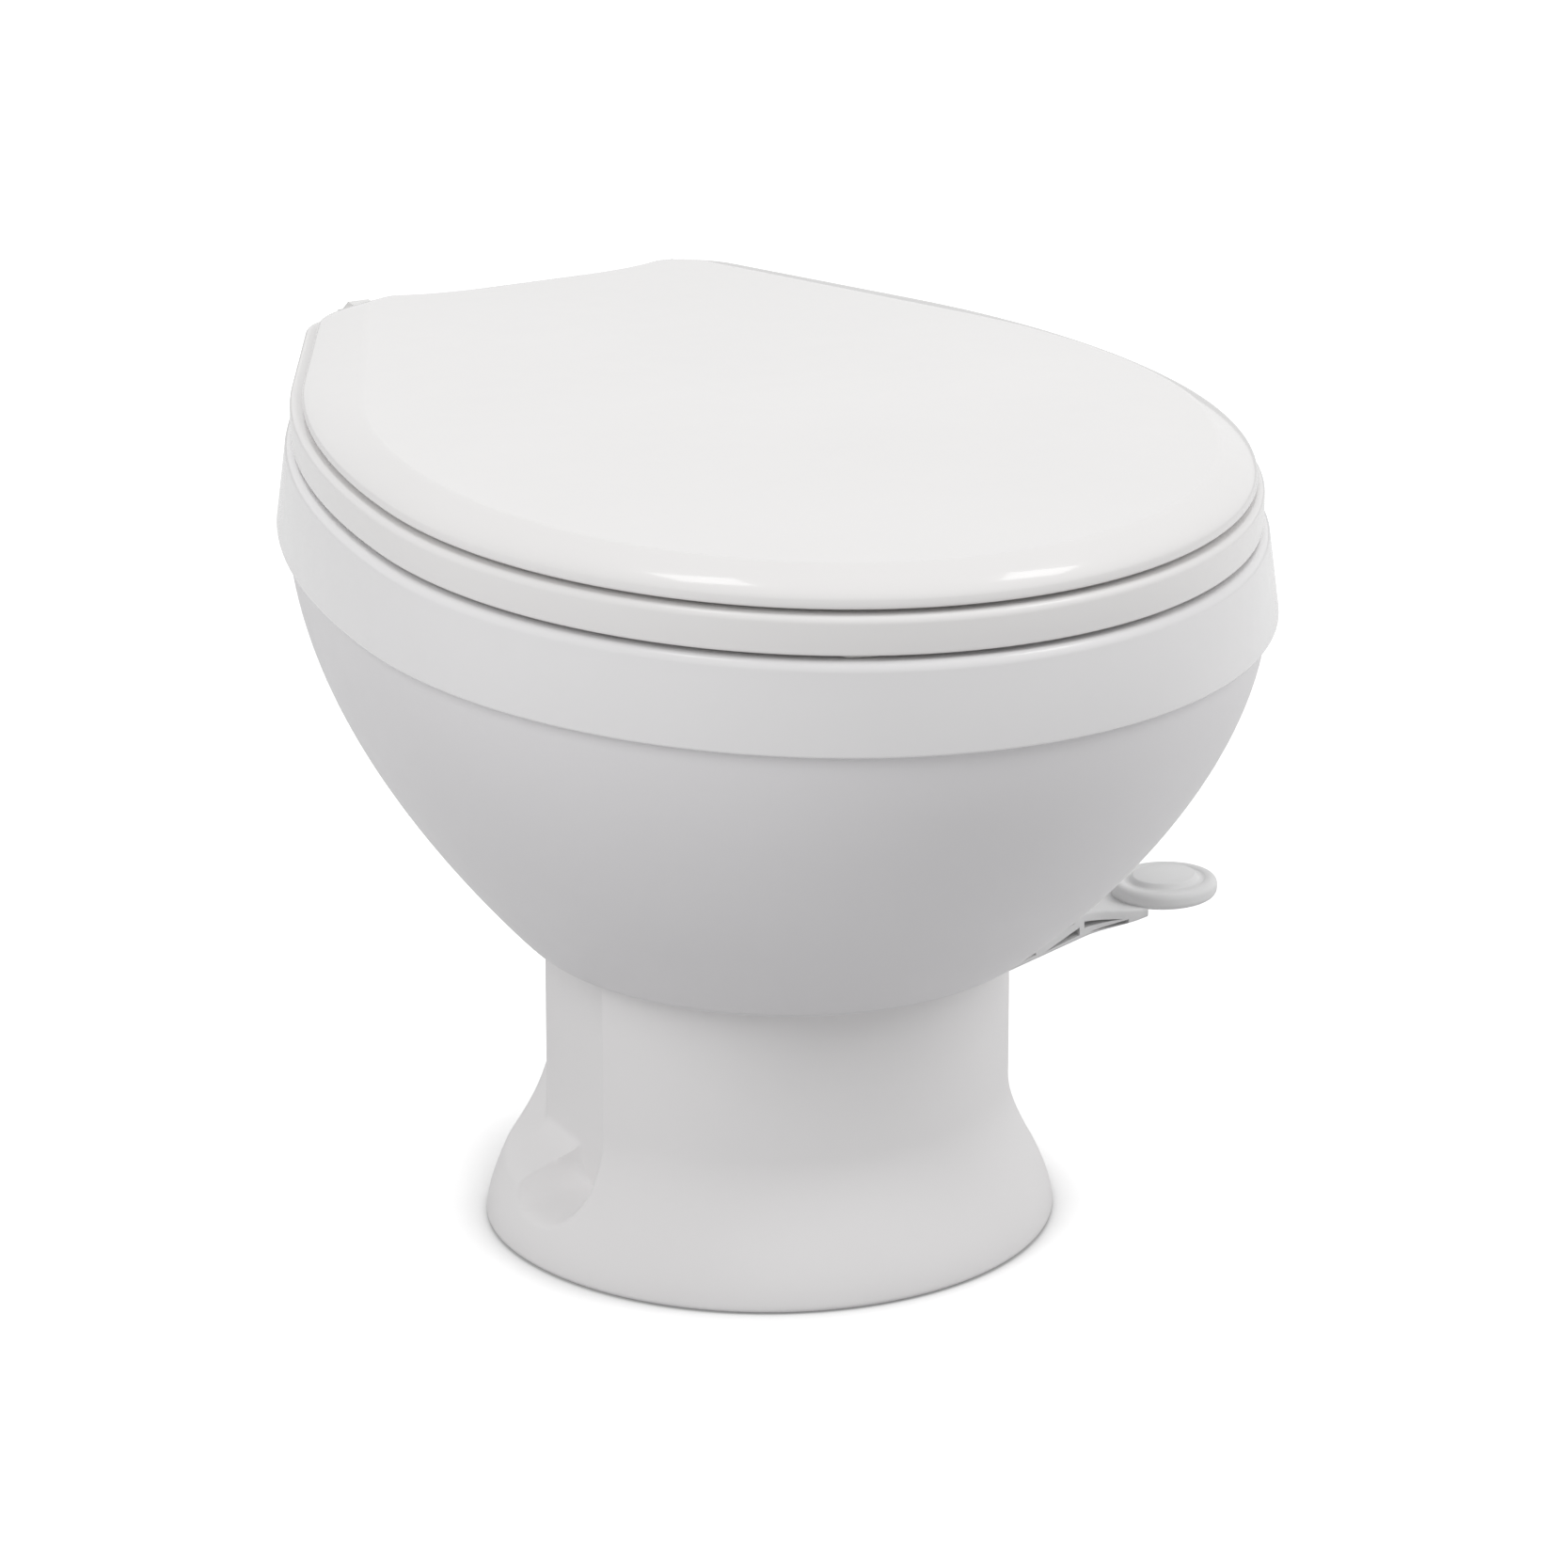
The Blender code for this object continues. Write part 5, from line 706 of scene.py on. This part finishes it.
def make_sector():
    """The toothed end of the pedal, as an outline about its pivot."""
    pitch = GEAR_MODULE * SECTOR_TEETH / 2
    root, tip = pitch - DEDENDUM_SHARE * GEAR_MODULE, pitch + ADDENDUM_SHARE * GEAR_MODULE
    levels = [root + (tip - root) * i / FLANK_STEPS for i in range(FLANK_STEPS + 1)]
    points = []
    for k in range(SECTOR_FIRST_TOOTH, SECTOR_LAST_TOOTH + 1):
        middle = math.pi + 2 * math.pi * k / SECTOR_TEETH
        flank = [(r, tooth_half_angle(r)) for r in levels]
        spokes = [(r, middle - a) for r, a in flank] + [(r, middle + a) for r, a in flank[::-1]]
        points += [(r * math.cos(angle), r * math.sin(angle)) for r, angle in spokes]
    points += [(0.0, -HUB_RADIUS + 2 * GAP), (0.0, HUB_RADIUS - 2 * GAP)]
    return prism([(PIVOT_X + x, BALL_AXIS_Z + z) for x, z in points],
                 GEAR_START_Y + GAP, GEAR_START_Y + GEAR_WIDTH - GAP)


def make_pedal():
    """The pedal in one moulding: sector, hub, ribbed lever and pad."""
    gear_end, centre = GEAR_START_Y + GEAR_WIDTH, (PIVOT_X, 0.0, BALL_AXIS_Z)
    neck_x = PIVOT_X + HUB_RADIUS + OVERRUN
    neck = prism([(PIVOT_X, BALL_AXIS_Z - HUB_RADIUS + GAP), (neck_x, lever_low_z(neck_x) + GAP),
                  (neck_x, LEVER_TOP_Z - GAP), (PIVOT_X, BALL_AXIS_Z + HUB_RADIUS - GAP)],
                 GEAR_START_Y + GAP, gear_end - GAP)
    piece = make_lever()
    combine(piece, lever_bays())
    hub = rod(HUB_RADIUS, GEAR_START_Y, gear_end, "Y", centre, HUB_STEPS)
    combine(piece, [hub, neck, make_sector(), make_pad()], "UNION")
    combine(piece, [rod(PIN_BORE, GEAR_START_Y - OVERRUN, gear_end + OVERRUN, "Y", centre)])
    dress(piece, "pedal", "pedal_white", PEDAL, "pedal")


# Floor, light and camera

VIEW_AZIMUTH, VIEW_ELEVATION = math.radians(-26.404), math.radians(19.7015)
CAMERA_PLACE, CAMERA_LENS, CAMERA_SENSOR = (-1.2562, -2.5006, 1.1744), 166.34, 36.0
FLOOR_HALF, FLOOR_DROP = 9.0, 0.0002
FLOOR_SHUT_IN, FLOOR_DARKEST, FLOOR_SHADE_REACH = 0.40, 0.35, 0.045
WORLD_LIGHT, FLOOR_GLOW, FLOOR_COLOUR = 0.54, 0.47, (0.58, 0.58, 0.585, 1.0)
WHITE = (1.0, 1.0, 1.0, 1.0)

# Name, place, size, power, and whether a gloss shows the lamp
LAMPS = (
    ("lamp_left", (-2.35, -0.8, 1.95), (1.2, 1.8), 29.0, False),
    ("lamp_right", (2.10, -1.35, 1.95), (1.2, 1.8), 29.0, False),
    ("lamp_strip_left", (-0.72, 0.30, 2.6), (0.5, 0.5), 3.0, True),
    ("lamp_strip_right", (1.10, -0.31, 2.45), (0.5, 0.5), 3.0, True),
)
LAMP_AIM = Vector((0.0, 0.0, 0.2))


def seen_directly(tree):
    """1 for rays from the camera, a gloss or a glass, and 0 for the rest."""
    path = add_node(tree, "ShaderNodeLightPath")
    total = path.outputs["Is Camera Ray"]
    for name in ("Is Glossy Ray", "Is Transmission Ray"):
        either = add_node(tree, "ShaderNodeMath", operation="MAXIMUM")
        tree.links.new(total, either.inputs[0])
        tree.links.new(path.outputs[name], either.inputs[1])
        total = either.outputs[0]
    return total


def make_world():
    """Even light all round, with plain white where the camera or a gloss sees it."""
    world = bpy.data.worlds.new("studio")
    bpy.context.scene.world = world
    world.use_nodes = True
    tree = world.node_tree
    light = tree.nodes["Background"]
    light.inputs["Color"].default_value = WHITE
    light.inputs["Strength"].default_value = WORLD_LIGHT
    white = add_node(tree, "ShaderNodeBackground", {"Color": WHITE, "Strength": 1.0})
    mix = add_node(tree, "ShaderNodeMixShader")
    tree.links.new(seen_directly(tree), mix.inputs["Fac"])
    tree.links.new(light.outputs[0], mix.inputs[1])
    tree.links.new(white.outputs[0], mix.inputs[2])
    tree.links.new(mix.outputs[0], tree.nodes["World Output"].inputs["Surface"])


def make_floor():
    """A floor seen as white that carries less light, with a faint shade where things stand."""
    corners = [(x * FLOOR_HALF, y * FLOOR_HALF, -FLOOR_DROP)
               for x, y in ((-1, -1), (1, -1), (1, 1), (-1, 1))]
    floor = add_mesh("floor", corners, [(0, 1, 2, 3)])
    paint = bpy.data.materials.new("floor_paint")
    paint.use_nodes = True
    tree = paint.node_tree
    tree.nodes.remove(tree.nodes["Principled BSDF"])
    seen = seen_directly(tree)
    contact = add_node(tree, "ShaderNodeAmbientOcclusion", {"Distance": FLOOR_SHADE_REACH})
    shade = add_node(tree, "ShaderNodeMapRange",
                     {"From Min": FLOOR_SHUT_IN, "To Min": FLOOR_DARKEST})
    tree.links.new(contact.outputs["AO"], shade.inputs["Value"])
    path = add_node(tree, "ShaderNodeLightPath")
    share = add_node(tree, "ShaderNodeMath", {1: FLOOR_GLOW}, operation="MULTIPLY")
    tree.links.new(path.outputs["Is Camera Ray"], share.inputs[0])
    glowing = add_node(tree, "ShaderNodeMath", operation="MULTIPLY")
    tree.links.new(share.outputs[0], glowing.inputs[0])
    tree.links.new(shade.outputs["Result"], glowing.inputs[1])
    unseen = add_node(tree, "ShaderNodeBsdfDiffuse", {"Color": FLOOR_COLOUR})
    shown = add_node(tree, "ShaderNodeBsdfDiffuse")
    tree.links.new(shade.outputs["Result"], shown.inputs["Color"])
    glow = add_node(tree, "ShaderNodeEmission", {"Color": WHITE})
    tree.links.new(glowing.outputs[0], glow.inputs["Strength"])
    lit = add_node(tree, "ShaderNodeAddShader")
    mix = add_node(tree, "ShaderNodeMixShader")
    tree.links.new(shown.outputs[0], lit.inputs[0])
    tree.links.new(glow.outputs[0], lit.inputs[1])
    tree.links.new(seen, mix.inputs["Fac"])
    tree.links.new(unseen.outputs[0], mix.inputs[1])
    tree.links.new(lit.outputs[0], mix.inputs[2])
    tree.links.new(mix.outputs[0], tree.nodes["Material Output"].inputs["Surface"])
    floor.data.materials.append(paint)


def make_lamps():
    for name, place, (wide, tall), power, mirrored in LAMPS:
        lamp = bpy.data.lights.new(name, "AREA")
        lamp.shape = "RECTANGLE"
        lamp.size, lamp.size_y, lamp.energy = wide, tall, power
        holder = bpy.data.objects.new(name, lamp)
        holder.location = place
        holder.visible_glossy = mirrored
        holder.rotation_mode = "QUATERNION"
        holder.rotation_quaternion = (LAMP_AIM - Vector(place)).to_track_quat("-Z", "Y")
        bpy.context.scene.collection.objects.link(holder)


def make_camera():
    lens = bpy.data.cameras.new("camera")
    lens.lens, lens.sensor_width = CAMERA_LENS, CAMERA_SENSOR
    camera = bpy.data.objects.new("camera", lens)
    level = math.cos(VIEW_ELEVATION)
    back = Vector((math.sin(VIEW_AZIMUTH) * level, -math.cos(VIEW_AZIMUTH) * level,
                   math.sin(VIEW_ELEVATION)))
    camera.location = CAMERA_PLACE
    camera.rotation_mode = "QUATERNION"
    camera.rotation_quaternion = back.to_track_quat("Z", "Y")
    bpy.context.scene.collection.objects.link(camera)
    bpy.context.scene.camera = camera


dress_cad_nodes()
make_lid()
make_seat()
make_rim()
make_bowl()
make_basin()
make_pedestal()
make_pedal()
make_world()
make_floor()
make_lamps()
make_camera()
bpy.context.scene.view_settings.view_transform = "Standard"
